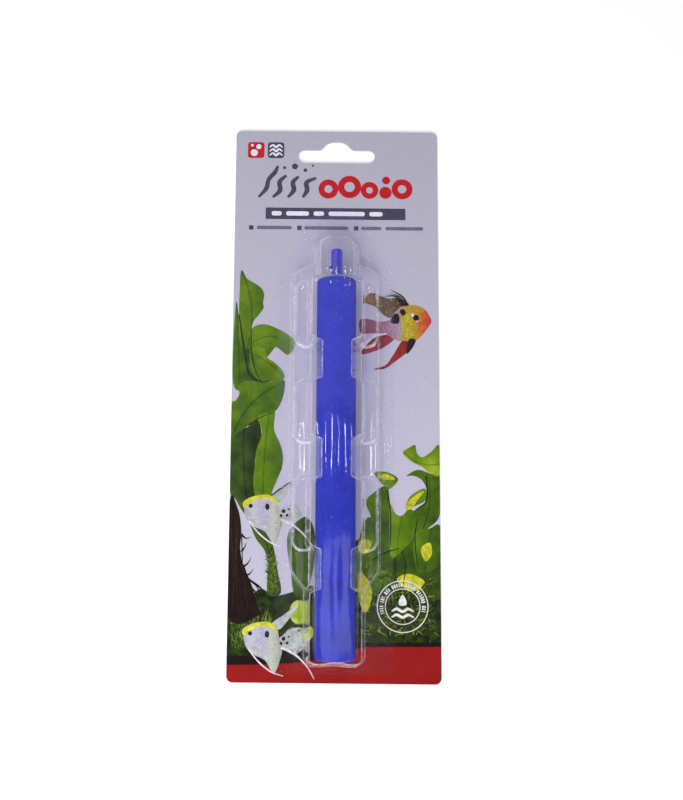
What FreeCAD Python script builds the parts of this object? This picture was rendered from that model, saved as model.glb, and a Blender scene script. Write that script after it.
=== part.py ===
"""Air stone in its blister pack: a printed hanging card, a clear thermoformed blister sealed to it, and
in the blister a porous air stone with its glued-in air nozzle.

Millimetres. The pack lies on the card's back: +Z is out of the card's front, +Y runs to the hanging slot
and +X to the right. The origin is the middle of the card's back.
"""

import math
import os

import FreeCAD
import Part

# --- air stone ---------------------------------------------------------------------------------
stone_diameter = 16.0
stone_length = 151.2
stone_edge_radius = 1.2
air_bore_diameter = 4.0
air_bore_end_wall = 10.0  # solid stone left beyond the blind air bore

# --- air nozzle --------------------------------------------------------------------------------
nozzle_diameter = 4.6
nozzle_bore_diameter = 2.4
nozzle_length = 12.75  # the part that stands out of the stone
nozzle_edge_radius = 0.5
stem_step = 0.3  # the stem stands this much prouder than the nozzle
stem_length = 11.0
stem_rib_height = 0.35
stem_rib_width = 0.8
stem_rib_pitch = 2.2
stem_rib_count = 4
glue_gap = 0.15  # resin round the stem's ribs
glue_bead_width = 1.0
glue_bead_top_width = 0.3
glue_bead_height = 1.0  # the stem stands out of the stone by as much, as a collar

# --- card --------------------------------------------------------------------------------------
card_width = 85.0
card_thickness = 0.6
coat_thickness = 0.1  # room for ink, varnish and heat-seal lacquer between the card and what lies on it
card_corner_radius = 2.5
header_height = 66.6  # card's top edge to the cavity's top end
footer_height = 8.8  # card's bottom edge to the cavity's bottom end

# Hanging slot: a round-ended bar with a hump in the middle of its upper edge.
slot_width = 32.4
slot_bar_height = 5.6
slot_from_top = 11.1  # card's top edge to the bar's centre line
hump_height = 3.6
hump_top_width = 6.8
hump_foot_width = 13.4
hump_radius = 5.2
hump_fillet = 2.5

# --- blister -----------------------------------------------------------------------------------
sheet_thickness = 0.3
stone_clearance = 0.1  # all round the stone, card side included
top_end_room = 0.35  # stone's nozzle end to the cavity
bottom_end_room = 1.05  # stone's far end to the cavity

pocket_draft = 7.0  # degrees, walls of the wide pockets
waist_draft = 20.0  # degrees, walls of the waists, which lean on the stone
pocket_side_room = 0.9  # stone to a wide pocket's wall, at the height of the stone's axis
waist_length = 18.5  # between the full-width lengths of two pockets
waist_chamfer = 2.2  # length over which a pocket narrows to a waist
pocket_lengths = (24.8, 20.9, 24.4)  # first three wide pockets; the last one takes what is left
end_notch_depth = 0.6  # the dent in the middle of the cavity's far end
end_notch_width = 7.0

nozzle_side_room = 4.4
nozzle_top_room = 0.9
nozzle_end_room = 4.8
nozzle_pocket_draft = 8.0
nozzle_pocket_end_radius = 4.6
pocket_top_radius = 1.2
pocket_end_radius = 2.4

step_height = 3.9  # low step round the cavity, above the coated card
step_width = 5.7  # cavity's foot to the step's edge
step_draft = 12.0
step_corner_radius = 5.0
neck_rounding = 0.8  # the step's end beyond the nozzle is this share of a half round
step_neck_width = 1.2  # beside and beyond the nozzle pocket
step_shoulder = 4.6  # the step's shoulder stands this far beyond the cavity's top end
step_shoulder_slope = 2.4  # the shoulder climbs by this much on its way to the neck
step_neck_fillet = 2.5
step_end_rise = 35.0  # cavity's far end to the step's square corners
step_end_taper = 7.0
step_end_radius = 2.0

pad_height = 1.6  # raised pads on the step, beside the wide pockets
pad_inset = 0.6
pad_overlap = 2.4  # a pad runs past its pocket's full-width length at each end
pad_corner_radius = 3.7

flange_width = 8.7  # sealing flange beside the step
flange_below = 5.2  # flange past the cavity's far end
flange_above = 29.6  # flange past the cavity's top end
flange_neck_width = 8.4  # beside the nozzle pocket's foot
flange_neck_taper = 2.4  # the neck is this much narrower at its top, on each side
flange_shoulder_low = 7.0  # where the shoulders start and end, past the cavity's top end
flange_shoulder_high = 15.0
flange_corner_radius = 4.0
flange_shoulder_radius = 9.0
flange_top_radius = 9.0

# --- derived -----------------------------------------------------------------------------------
stone_radius = stone_diameter / 2
nozzle_radius = nozzle_diameter / 2
stem_radius = nozzle_radius + stem_step
rib_radius = stem_radius + stem_rib_height
socket_radius = rib_radius + glue_gap
cavity_length = top_end_room + stone_length + bottom_end_room
card_length = header_height + cavity_length + footer_height

card_top = card_length / 2
cavity_top = card_top - header_height
cavity_end = cavity_top - cavity_length
stone_top = cavity_top - top_end_room
stone_end = stone_top - stone_length
collar_top = stone_top + glue_bead_height
nozzle_tip = stone_top + nozzle_length
slot_y = card_top - slot_from_top

face_z = card_thickness + coat_thickness
axis_z = face_z + stone_clearance + stone_radius
flange_z = face_z + sheet_thickness
step_z = face_z + step_height
pad_z = step_z + pad_height
cavity_z = axis_z + stone_radius + stone_clearance + sheet_thickness
nozzle_pocket_z = axis_z + nozzle_radius + nozzle_top_room + sheet_thickness


def tan(degrees):
    return math.tan(math.radians(degrees))


def spread(z_from, z_to, draft):
    """How much further out a wall with this draft is at z_to than at z_from."""
    return (z_from - z_to) * tan(draft)


pocket_half = stone_radius + pocket_side_room + sheet_thickness + spread(axis_z, cavity_z, pocket_draft)
waist_half = (stone_radius + stone_clearance + sheet_thickness) * tan(45 - waist_draft / 2)
foot_half = pocket_half + spread(cavity_z, step_z, pocket_draft)
step_half = foot_half + step_width
flange_half = step_half + flange_width
nozzle_pocket_half = nozzle_radius + nozzle_side_room + sheet_thickness
nozzle_foot_half = nozzle_pocket_half + spread(nozzle_pocket_z, step_z, nozzle_pocket_draft)
nozzle_pocket_end = nozzle_tip + nozzle_end_room
nozzle_foot_end = nozzle_pocket_end + spread(nozzle_pocket_z, step_z, nozzle_pocket_draft)


def pocket_spans():
    """(top, end) of each wide pocket's full-width length, from the nozzle end down."""
    spans = []
    top = cavity_top
    for length in pocket_lengths:
        spans.append((top, top - length))
        top -= length + waist_length
    spans.append((top, cavity_end))
    return spans


# --- outlines ----------------------------------------------------------------------------------
def mirrored(right_side):
    """A closed outline, counterclockwise, from its right side's (x, y, corner radius) points, which run
    from the bottom up."""
    return list(right_side) + [(-x, y, r) for x, y, r in reversed(right_side)]


def directions(points):
    units = []
    for (x0, y0, _), (x1, y1, _) in zip(points, points[1:] + points[:1]):
        length = math.hypot(x1 - x0, y1 - y0)
        units.append(((x1 - x0) / length, (y1 - y0) / length))
    return units


def grown(points, distance):
    """The outline moved outwards by distance. Round corners grow or shrink with it."""
    units = directions(points)
    result = []
    for i, (x, y, radius) in enumerate(points):
        (ax, ay), (bx, by) = units[i - 1], units[i]
        cross = ax * by - ay * bx
        share = distance / (1 + ax * bx + ay * by)
        moved = radius + math.copysign(distance, cross) if radius else 0.0
        result.append((x + (ay + by) * share, y - (ax + bx) * share, moved))
    return result


def wire(points, z):
    """A closed wire at height z, with the stated corners as arcs."""
    units = directions(points)
    ends = []
    for i, (x, y, radius) in enumerate(points):
        (ax, ay), (bx, by) = units[i - 1], units[i]
        corner = FreeCAD.Vector(x, y, z)
        if not radius:
            ends.append((corner, None, corner))
            continue
        turn = math.acos(max(-1.0, min(1.0, ax * bx + ay * by)))
        run = radius * math.tan(turn / 2)
        start = FreeCAD.Vector(x - ax * run, y - ay * run, z)
        end = FreeCAD.Vector(x + bx * run, y + by * run, z)
        bisector = FreeCAD.Vector(bx - ax, by - ay, 0).normalize()
        middle = corner + bisector * (radius / math.cos(turn / 2) - radius)
        ends.append((start, middle, end))
    edges = []
    for (start, middle, end), (following, _, _) in zip(ends, ends[1:] + ends[:1]):
        if middle is not None:
            edges.append(Part.Arc(start, middle, end).toShape())
        edges.append(Part.LineSegment(end, following).toShape())
    return Part.Wire(edges)


def plate(points, z_low, z_high):
    face = Part.Face(wire(points, z_low))
    return face.extrude(FreeCAD.Vector(0, 0, z_high - z_low))


def moulded(points, z_top, draft, inset):
    """A block with drafted walls that stands on the coated card. points are its top outline. inset
    moves its top and its walls inwards by that much, square to each."""
    z = z_top - inset
    top = grown(points, -inset * tan(45 - draft / 2))
    foot = grown(top, spread(z, face_z, draft))
    return Part.makeLoft([wire(foot, face_z), wire(top, z)], True, True)


def cylinder(radius, y_low, y_high):
    """A round bar on the stone's axis, along Y."""
    base = FreeCAD.Vector(0, y_low, axis_z)
    return Part.makeCylinder(radius, y_high - y_low, base, FreeCAD.Vector(0, 1, 0))


def round_end_edges(shape, y, radius):
    """The circular edges of this radius about the stone's axis, in the plane at y."""
    found = []
    for edge in shape.Edges:
        curve = edge.Curve
        if isinstance(curve, Part.Circle) and abs(curve.Center.y - y) < 1e-6:
            if abs(curve.Radius - radius) < 1e-6:
                found.append(edge)
    return found


# --- card --------------------------------------------------------------------------------------
def backing_card():
    half = card_width / 2
    outline = mirrored([(half, -card_top, card_corner_radius), (half, card_top, card_corner_radius)])
    low = slot_y - slot_bar_height / 2
    high = slot_y + slot_bar_height / 2
    round_end = slot_bar_height / 2 - 0.01  # just short of the half round, so both arcs keep an edge
    slot = mirrored(
        [
            (slot_width / 2, low, round_end),
            (slot_width / 2, high, round_end),
            (hump_foot_width / 2, high, hump_fillet),
            (hump_top_width / 2, high + hump_height, hump_radius),
        ]
    )
    return plate(outline, 0, card_thickness).cut(plate(slot, -1, card_thickness + 1))


# --- blister -----------------------------------------------------------------------------------
def step_block(inset):
    neck = nozzle_foot_half + step_neck_width
    shoulder = cavity_top + step_shoulder
    square_end = cavity_end + step_end_rise
    outline = mirrored(
        [
            (foot_half, square_end - step_end_taper, step_end_radius),
            (step_half, square_end, step_corner_radius),
            (step_half, shoulder, step_corner_radius),
            (neck, shoulder + step_shoulder_slope, step_neck_fillet),
            (neck, nozzle_foot_end + step_neck_width, neck * neck_rounding),
        ]
    )
    return moulded(outline, step_z, step_draft, inset)


def pads(inset):
    """One pad round each wide pocket that has the step beside it."""
    blocks = []
    half = step_half - pad_inset - spread(pad_z, step_z, step_draft)
    for top, end in pocket_spans()[:3]:
        high = min(top + pad_overlap, cavity_top)
        low = end - pad_overlap
        outline = mirrored([(half, low, pad_corner_radius), (half, high, pad_corner_radius)])
        blocks.append(moulded(outline, pad_z, step_draft, inset))
    return blocks


def waist_block(top, end, inset):
    """The narrow stretch between two wide pockets. Its ends lie inside them."""
    z = cavity_z - inset
    half = waist_half - inset * tan(45 - waist_draft / 2)
    foot = half + spread(z, face_z, waist_draft)
    corners = [(-foot, face_z), (foot, face_z), (half, z), (-half, z)]
    points = [FreeCAD.Vector(x, end, height) for x, height in corners]
    section = Part.Face(Part.makePolygon(points + points[:1]))
    return section.extrude(FreeCAD.Vector(0, top - end, 0))


def pocket_block(top, end, inset):
    """A wide pocket. It narrows towards each waist, and its far end is notched on the last pocket."""
    points = []
    if end > cavity_end:
        points += [(waist_half, end - waist_chamfer, 0), (pocket_half, end, 0)]
    else:
        points += [
            (end_notch_width / 2 - end_notch_depth, end + end_notch_depth, 0),
            (end_notch_width / 2, end, 0),
            (pocket_half, end, pocket_end_radius),
        ]
    if top < cavity_top:
        points += [(pocket_half, top, 0), (waist_half, top + waist_chamfer, 0)]
    else:
        points += [(pocket_half, top, pocket_top_radius)]
    return moulded(mirrored(points), cavity_z, pocket_draft, inset)


def nozzle_pocket(inset):
    outline = mirrored(
        [
            (nozzle_pocket_half, cavity_top - nozzle_pocket_half, 0),
            (nozzle_pocket_half, nozzle_pocket_end, nozzle_pocket_end_radius),
        ]
    )
    return moulded(outline, nozzle_pocket_z, nozzle_pocket_draft, inset)


def blister_block(inset):
    """Everything that the blister bulges round, as one solid standing on the card."""
    spans = pocket_spans()
    parts = [nozzle_pocket(inset)] + pads(inset)
    for top, end in spans:
        parts.append(pocket_block(top, end, inset))
    for (_, pocket_end), (next_top, _) in zip(spans, spans[1:]):
        parts.append(waist_block(pocket_end, next_top, inset))
    return step_block(inset).multiFuse(parts).removeSplitter()


def flange():
    low = cavity_top + flange_shoulder_low
    high = cavity_top + flange_shoulder_high
    neck = nozzle_foot_half + flange_neck_width
    outline = mirrored(
        [
            (flange_half, cavity_end - flange_below, flange_corner_radius),
            (flange_half, low, flange_shoulder_radius),
            (neck, high, flange_shoulder_radius),
            (neck - flange_neck_taper, cavity_top + flange_above, flange_top_radius),
        ]
    )
    return plate(outline, face_z, flange_z)


def blister():
    outside = flange().fuse(blister_block(0.0))
    return outside.cut(blister_block(sheet_thickness)).removeSplitter()


# --- stone and nozzle --------------------------------------------------------------------------
def nozzle_blank():
    """The nozzle with its collar and ribbed stem, before its bore is made."""
    tube = cylinder(nozzle_radius, stone_top - stem_length, nozzle_tip)
    tube = tube.makeFillet(nozzle_edge_radius, round_end_edges(tube, nozzle_tip, nozzle_radius))
    parts = [cylinder(stem_radius, stone_top - stem_length, collar_top)]
    for i in range(stem_rib_count):
        y = stone_top - stem_rib_pitch * (i + 1)
        parts.append(cylinder(rib_radius, y - stem_rib_width / 2, y + stem_rib_width / 2))
    return tube.multiFuse(parts).removeSplitter()


def stone_body():
    stone = cylinder(stone_radius, stone_end, stone_top)
    for y in (stone_end, stone_top):
        stone = stone.makeFillet(stone_edge_radius, round_end_edges(stone, y, stone_radius))
    bore = cylinder(air_bore_diameter / 2, stone_end + air_bore_end_wall, stone_top)
    socket = cylinder(socket_radius, stone_top - stem_length, stone_top)
    return stone.cut(bore).cut(socket)


def air_nozzle():
    bore = cylinder(nozzle_bore_diameter / 2, stone_top - stem_length - 1, nozzle_tip + 1)
    return nozzle_blank().cut(bore)


def glue_ring():
    """Resin that fills the socket round the stem and stands as a bead at the stone's end."""
    filling = cylinder(socket_radius, stone_top - stem_length, stone_top)
    foot = stem_radius + glue_bead_width
    top = stem_radius + glue_bead_top_width
    start = FreeCAD.Vector(0, stone_top, axis_z)
    bead = Part.makeCone(foot, top, glue_bead_height, start, FreeCAD.Vector(0, 1, 0))
    return filling.fuse(bead).cut(nozzle_blank())


def main():
    os.makedirs("parts", exist_ok=True)
    nodes = {
        "backing_card": backing_card(),
        "blister": blister(),
        "stone_body": stone_body(),
        "air_nozzle": air_nozzle(),
        "glue_ring": glue_ring(),
    }
    for name, shape in nodes.items():
        box = shape.BoundBox
        print(
            f"{name}: {len(shape.Solids)} solid, valid {shape.isValid()}, {shape.Volume:.1f} mm3,"
            f" x {box.XMin:.2f}..{box.XMax:.2f} y {box.YMin:.2f}..{box.YMax:.2f}"
            f" z {box.ZMin:.2f}..{box.ZMax:.2f}"
        )
        shape.exportStep(f"parts/{name}.step")


main()
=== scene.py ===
"""Looks of an air stone in its blister pack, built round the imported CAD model.

The pack lies on the card's back. Lengths in this file are millimetres until a mesh or a pattern is
made; the settings are in metres, as Blender keeps lengths.
"""

import math
import random

import bmesh
import bpy
import numpy as np
from mathutils import Matrix, Vector
from mathutils.geometry import tessellate_polygon


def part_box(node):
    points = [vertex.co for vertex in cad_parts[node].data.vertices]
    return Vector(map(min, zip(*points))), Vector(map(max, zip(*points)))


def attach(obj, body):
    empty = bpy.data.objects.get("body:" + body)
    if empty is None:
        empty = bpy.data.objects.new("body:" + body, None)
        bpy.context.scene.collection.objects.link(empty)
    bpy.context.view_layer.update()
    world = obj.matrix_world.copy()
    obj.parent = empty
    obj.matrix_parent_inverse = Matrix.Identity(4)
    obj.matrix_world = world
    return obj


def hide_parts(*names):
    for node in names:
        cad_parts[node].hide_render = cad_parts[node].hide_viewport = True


bl_info = {
    "name": "Air stone blister pack", "version": (1, 0, 0), "blender": (4, 5, 0),
    "location": "View3D > Sidebar > Air stone",
    "description": "Builds the printed card, the clear blister, the stone and its nozzle",
    "category": "Object",
}

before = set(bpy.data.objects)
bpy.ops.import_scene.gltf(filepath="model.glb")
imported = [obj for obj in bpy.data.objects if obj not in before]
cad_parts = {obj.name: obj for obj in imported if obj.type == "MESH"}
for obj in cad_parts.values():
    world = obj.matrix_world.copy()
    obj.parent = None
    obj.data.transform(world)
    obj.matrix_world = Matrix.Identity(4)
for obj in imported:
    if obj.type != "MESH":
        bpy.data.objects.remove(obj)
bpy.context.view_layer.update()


def node_box(node):
    """A CAD node's lowest and highest corner, in millimetres."""
    low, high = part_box(node)
    return [v * 1000 for v in low], [v * 1000 for v in high]


CARD_LOW, CARD_HIGH = node_box("backing_card")
STONE_LOW, STONE_HIGH = node_box("stone_body")
NOZZLE_LOW, NOZZLE_HIGH = node_box("air_nozzle")
GLUE_LOW, GLUE_HIGH = node_box("glue_ring")
SHEET_LOW, SHEET_HIGH = node_box("blister")

HALF_CARD = CARD_HIGH[0]
CARD_TOP = CARD_HIGH[1]
CARD_END = CARD_LOW[1]
CARD_FACE = CARD_HIGH[2]
STONE_RADIUS = (STONE_HIGH[0] - STONE_LOW[0]) / 2
STONE_TOP = STONE_HIGH[1]
STONE_END = STONE_LOW[1]
AXIS_Z = (STONE_HIGH[2] + STONE_LOW[2]) / 2
PRINT_MARGIN = 0.05  # the print stops this near the card's cut edge
PRINT_EDGE = HALF_CARD - PRINT_MARGIN
MM = 0.001


def linear(hex_value):
    """sRGB hex to linear RGBA."""
    parts = [int(hex_value[i : i + 2], 16) / 255 for i in (1, 3, 5)]
    return tuple(c / 12.92 if c <= 0.04045 else ((c + 0.055) / 1.055) ** 2.4 for c in parts) + (1.0,)


# --- settings ----------------------------------------------------------------------------------
class AirStoneSizes(bpy.types.PropertyGroup):
    """Sizes of what the CAD model leaves plain"""

    sheet: bpy.props.FloatProperty(
        name="Sheet", description="Clear sheet's thickness", default=0.3 * MM, unit="LENGTH"
    )
    fold: bpy.props.FloatProperty(
        name="Fold", description="Outer radius of the blister's folds", default=0.8 * MM, unit="LENGTH"
    )
    edge: bpy.props.FloatProperty(
        name="Edge", description="Radius of the stone's edges", default=1.2 * MM, unit="LENGTH"
    )
    grain: bpy.props.FloatProperty(
        name="Grain", description="Size of the stone's grains", default=0.7 * MM, unit="LENGTH"
    )
    grain_depth: bpy.props.FloatProperty(
        name="Grain depth", description="Depth of the hollows between grains", default=0.09 * MM,
        unit="LENGTH",
    )
    ink: bpy.props.FloatProperty(
        name="Ink", description="Height of one printed layer", default=0.008 * MM, unit="LENGTH"
    )
    blades: bpy.props.IntProperty(name="Moss", description="Moss blades per bed", default=760, min=1)


class AirStoneColours(bpy.types.PropertyGroup):
    """Colours that a user would change"""

    stone: bpy.props.FloatVectorProperty(
        name="Stone", description="Dyed stone", default=linear("#242FB2"), size=4, subtype="COLOR"
    )
    nozzle: bpy.props.FloatVectorProperty(
        name="Nozzle", description="Moulded nozzle", default=linear("#2A1FBE"), size=4, subtype="COLOR"
    )
    band: bpy.props.FloatVectorProperty(
        name="Band", description="Band at the card's foot", default=linear("#961312"), size=4,
        subtype="COLOR",
    )
    title: bpy.props.FloatVectorProperty(
        name="Title", description="Bold mark on the header", default=linear("#B4161B"), size=4,
        subtype="COLOR",
    )


def length_mm(name):
    """A length setting, in millimetres."""
    return getattr(bpy.context.scene.air_stone_sizes, name) / MM


def colour_of(name):
    """A colour setting, as linear RGBA."""
    return tuple(getattr(bpy.context.scene.air_stone_colours, name))


# --- materials ---------------------------------------------------------------------------------
def add(tree, kind, values=None, stops=None, **settings):
    """Adds a node. values go to its inputs: a node or a socket is linked, a hex string is a colour, and
    anything else is set as it is. stops are a colour ramp's (position, colour) pairs, each colour a hex
    string or linear RGBA. settings are the node's own properties."""
    made = tree.nodes.new(kind)
    for name, value in settings.items():
        setattr(made, name, value)
    for key, value in (values or {}).items():
        if isinstance(value, bpy.types.Node):
            value = value.outputs[0]
        if isinstance(value, bpy.types.NodeSocket):
            tree.links.new(value, made.inputs[key])
        elif isinstance(value, str) and value.startswith("#"):
            made.inputs[key].default_value = linear(value)
        else:
            made.inputs[key].default_value = value
    if stops:
        elements = made.color_ramp.elements
        while len(elements) < len(stops):
            elements.new(0.5)
        for element, (position, colour) in zip(elements, stops):
            element.position = position
            element.color = linear(colour) if isinstance(colour, str) else colour
    return made


def new_material(name):
    """An empty node material, its tree and the piece's own coordinates in metres."""
    made = bpy.data.materials.new(name)
    made.use_nodes = True
    made.node_tree.nodes.clear()
    return made, made.node_tree, add(made.node_tree, "ShaderNodeTexCoord").outputs["Object"]


def finish_material(tree, shader):
    """Joins a shader to the material's output."""
    add(tree, "ShaderNodeOutputMaterial", {"Surface": shader})


def per(size):
    """A texture scale for a pattern that repeats about every size millimetres."""
    return 1 / (size * MM)


def uneven(tree, place, size, low, high, detail=3.0, reach=0.2):
    """Noise in patches of size millimetres, stretched so that reach either side of its middle runs from
    low to high."""
    noise = add(tree, "ShaderNodeTexNoise", {"Vector": place, "Scale": per(size), "Detail": detail})
    ends = {"From Min": 0.5 - reach, "From Max": 0.5 + reach, "To Min": low, "To Max": high}
    return add(tree, "ShaderNodeMapRange", {"Value": noise.outputs["Fac"], **ends})


def print_finish(tree, place, colour, roughness=0.34):
    """Offset ink under a gloss varnish: fine mottle of the ink, and the varnish's slight orange peel."""
    # ink mottle is about 0.1 mm on a real card, drawn at 0.5 mm so that it shows
    mottle = uneven(tree, place, 0.5, 0.9, 1.1)
    tinted = add(tree, "ShaderNodeHueSaturation", {"Value": mottle, "Color": colour})
    peel = add(tree, "ShaderNodeTexNoise", {"Vector": place, "Scale": per(2.5), "Detail": 1.0})
    bump = add(
        tree, "ShaderNodeBump", {"Height": peel.outputs["Fac"], "Strength": 0.12, "Distance": 0.0001}
    )
    return add(
        tree, "ShaderNodeBsdfPrincipled",
        {
            "Base Color": tinted, "Roughness": roughness, "IOR": 1.5, "Specular IOR Level": 0.2,
            "Normal": bump,
        },
    )


def ink_material(name, dark, light, size=4.0, spread=0.5):
    """A printed colour that wanders between two hex values over patches of size millimetres."""
    made, tree, place = new_material(name)
    patches = add(tree, "ShaderNodeTexNoise", {"Vector": place, "Scale": per(size), "Detail": 3.0})
    stops = [(0.5 - spread / 2, dark), (0.5 + spread / 2, light)]
    colour = add(tree, "ShaderNodeValToRGB", {"Fac": patches.outputs["Fac"]}, stops)
    finish_material(tree, print_finish(tree, place, colour))
    return made


def board_material():
    """Coated duplex board: varnished print on its face, grey recycled pulp at its cut edge and back."""
    made, tree, place = new_material("coated_duplex_board")
    split = add(tree, "ShaderNodeSeparateXYZ", {0: place})
    height = add(
        tree, "ShaderNodeMapRange",
        {"Value": split.outputs["Y"], "From Min": CARD_END * MM, "From Max": CARD_TOP * MM},
    )
    ground = add(
        tree, "ShaderNodeValToRGB", {"Fac": height},
        [(0.0, "#BFBBCC"), (0.42, "#BDB9CA"), (0.7, "#B7B4C3"), (1.0, "#B0ADBB")],
    )
    face = print_finish(tree, place, ground, 0.3)
    # pulp fibres are some 0.02 mm thick, drawn at 0.35 mm so that they show
    fibres = add(
        tree, "ShaderNodeTexNoise",
        {"Vector": place, "Scale": per(0.35), "Detail": 5.0, "Distortion": 1.2},
    )
    pulp = add(
        tree, "ShaderNodeValToRGB", {"Fac": fibres.outputs["Fac"]},
        [(0.25, "#8E8C88"), (0.5, "#ABA9A4"), (0.68, "#C4C2BC")],
    )
    fuzz = add(
        tree, "ShaderNodeBump", {"Height": fibres.outputs["Fac"], "Strength": 0.35, "Distance": 0.0002}
    )
    raw = add(tree, "ShaderNodeBsdfPrincipled", {"Base Color": pulp, "Roughness": 0.88, "Normal": fuzz})
    # the print covers only the top face
    is_face = add(
        tree, "ShaderNodeMath", {0: split.outputs["Z"], 1: (CARD_FACE - 0.005) * MM},
        operation="GREATER_THAN",
    )
    finish_material(tree, add(tree, "ShaderNodeMixShader", {0: is_face, 1: raw, 2: face}))
    return made


def leaf_material():
    """Offset-printed leaf: dark midrib, faint side veins and one half lighter than the other. The leaf
    map holds its length and width, the tone map its shade and its bend."""
    made, tree, place = new_material("printed_leaf_ink")
    leaf = add(tree, "ShaderNodeSeparateXYZ", {0: add(tree, "ShaderNodeUVMap", uv_map="leaf")})
    tone = add(tree, "ShaderNodeSeparateXYZ", {0: add(tree, "ShaderNodeUVMap", uv_map="tone")})
    along, across = leaf.outputs["X"], leaf.outputs["Y"]
    # the midrib is an arc that leaves the middle by bend * 4 * along * (1 - along)
    rest = add(tree, "ShaderNodeMath", {0: 1.0, 1: along}, operation="SUBTRACT")
    hump = add(tree, "ShaderNodeMath", {0: along, 1: rest}, operation="MULTIPLY")
    bow = add(tree, "ShaderNodeMath", {0: hump, 1: tone.outputs["Y"]}, operation="MULTIPLY")
    bent = add(tree, "ShaderNodeMath", {0: bow, 1: -4.0, 2: across}, operation="MULTIPLY_ADD")
    side = add(tree, "ShaderNodeMath", {0: bent}, operation="ABSOLUTE")
    # side veins leave the midrib at a slant
    slant = add(tree, "ShaderNodeMath", {0: side, 1: -0.35, 2: along}, operation="MULTIPLY_ADD")
    turns = add(tree, "ShaderNodeMath", {0: slant, 1: 52.0}, operation="MULTIPLY")
    wave = add(tree, "ShaderNodeMath", {0: turns}, operation="SINE")
    vein = add(
        tree, "ShaderNodeMapRange",
        {"Value": wave, "From Min": 0.75, "From Max": 1.0, "To Min": 0.0, "To Max": 0.04},
    )
    rib = add(
        tree, "ShaderNodeMapRange",
        {"Value": side, "From Min": 0.0, "From Max": 0.06, "To Min": -0.22, "To Max": 0.0},
    )
    # one half of a leaf faces the light, the other turns away
    half = add(
        tree, "ShaderNodeMapRange",
        {"Value": bent, "From Min": -0.9, "From Max": 0.9, "To Min": -0.12, "To Max": 0.12},
    )
    cloud = uneven(tree, place, 7.0, -0.13, 0.13)
    shade = tone.outputs["X"]
    for part in (vein, rib, half, cloud):
        shade = add(tree, "ShaderNodeMath", {0: shade, 1: part}, operation="ADD")
    colour = add(
        tree, "ShaderNodeValToRGB", {"Fac": shade},
        [
            (0.0, "#131C08"), (0.25, "#2C4210"), (0.5, "#486A04"), (0.72, "#66860A"), (0.88, "#92A62A"),
            (1.0, "#C2CB5C"),
        ],
    )
    finish_material(tree, print_finish(tree, place, colour))
    return made


def moss_material():
    """Printed moss blades, each with its own green from the shade attribute."""
    made, tree, place = new_material("printed_moss_ink")
    own = add(tree, "ShaderNodeAttribute", attribute_name="shade")
    stops = [(0.0, "#0B1206"), (0.4, "#26380C"), (0.75, "#4C6616"), (1.0, "#8EA238")]
    colour = add(tree, "ShaderNodeValToRGB", {"Fac": own.outputs["Fac"]}, stops)
    finish_material(tree, print_finish(tree, place, colour))
    return made


def fish_material(name, stops, low, high, dot_hex, dot_size, dot_share):
    """Offset-printed fish: its colours run from low to high across the card, under fine scales."""
    made, tree, place = new_material(name)
    split = add(tree, "ShaderNodeSeparateXYZ", {0: place})
    run = add(
        tree, "ShaderNodeMapRange",
        {"Value": split.outputs["X"], "From Min": low * MM, "From Max": high * MM},
    )
    wander = add(tree, "ShaderNodeTexNoise", {"Vector": place, "Scale": per(3.0), "Detail": 3.0})
    offset = add(
        tree, "ShaderNodeMath", {0: wander.outputs["Fac"], 1: 0.35, 2: -0.175}, operation="MULTIPLY_ADD"
    )
    moved = add(tree, "ShaderNodeMath", {0: run, 1: offset}, operation="ADD")
    ground = add(tree, "ShaderNodeValToRGB", {"Fac": moved}, stops)
    scales = add(tree, "ShaderNodeTexVoronoi", {"Vector": place, "Scale": per(dot_size)})
    dots = add(
        tree, "ShaderNodeMapRange",
        {
            "Value": scales.outputs["Distance"], "From Min": 0.2, "From Max": 0.38, "To Min": dot_share,
            "To Max": 0.0,
        },
    )
    colour = add(tree, "ShaderNodeMix", {"Factor": dots, 6: ground, 7: dot_hex}, data_type="RGBA")
    finish_material(tree, print_finish(tree, place, colour.outputs[2]))
    return made


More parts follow.
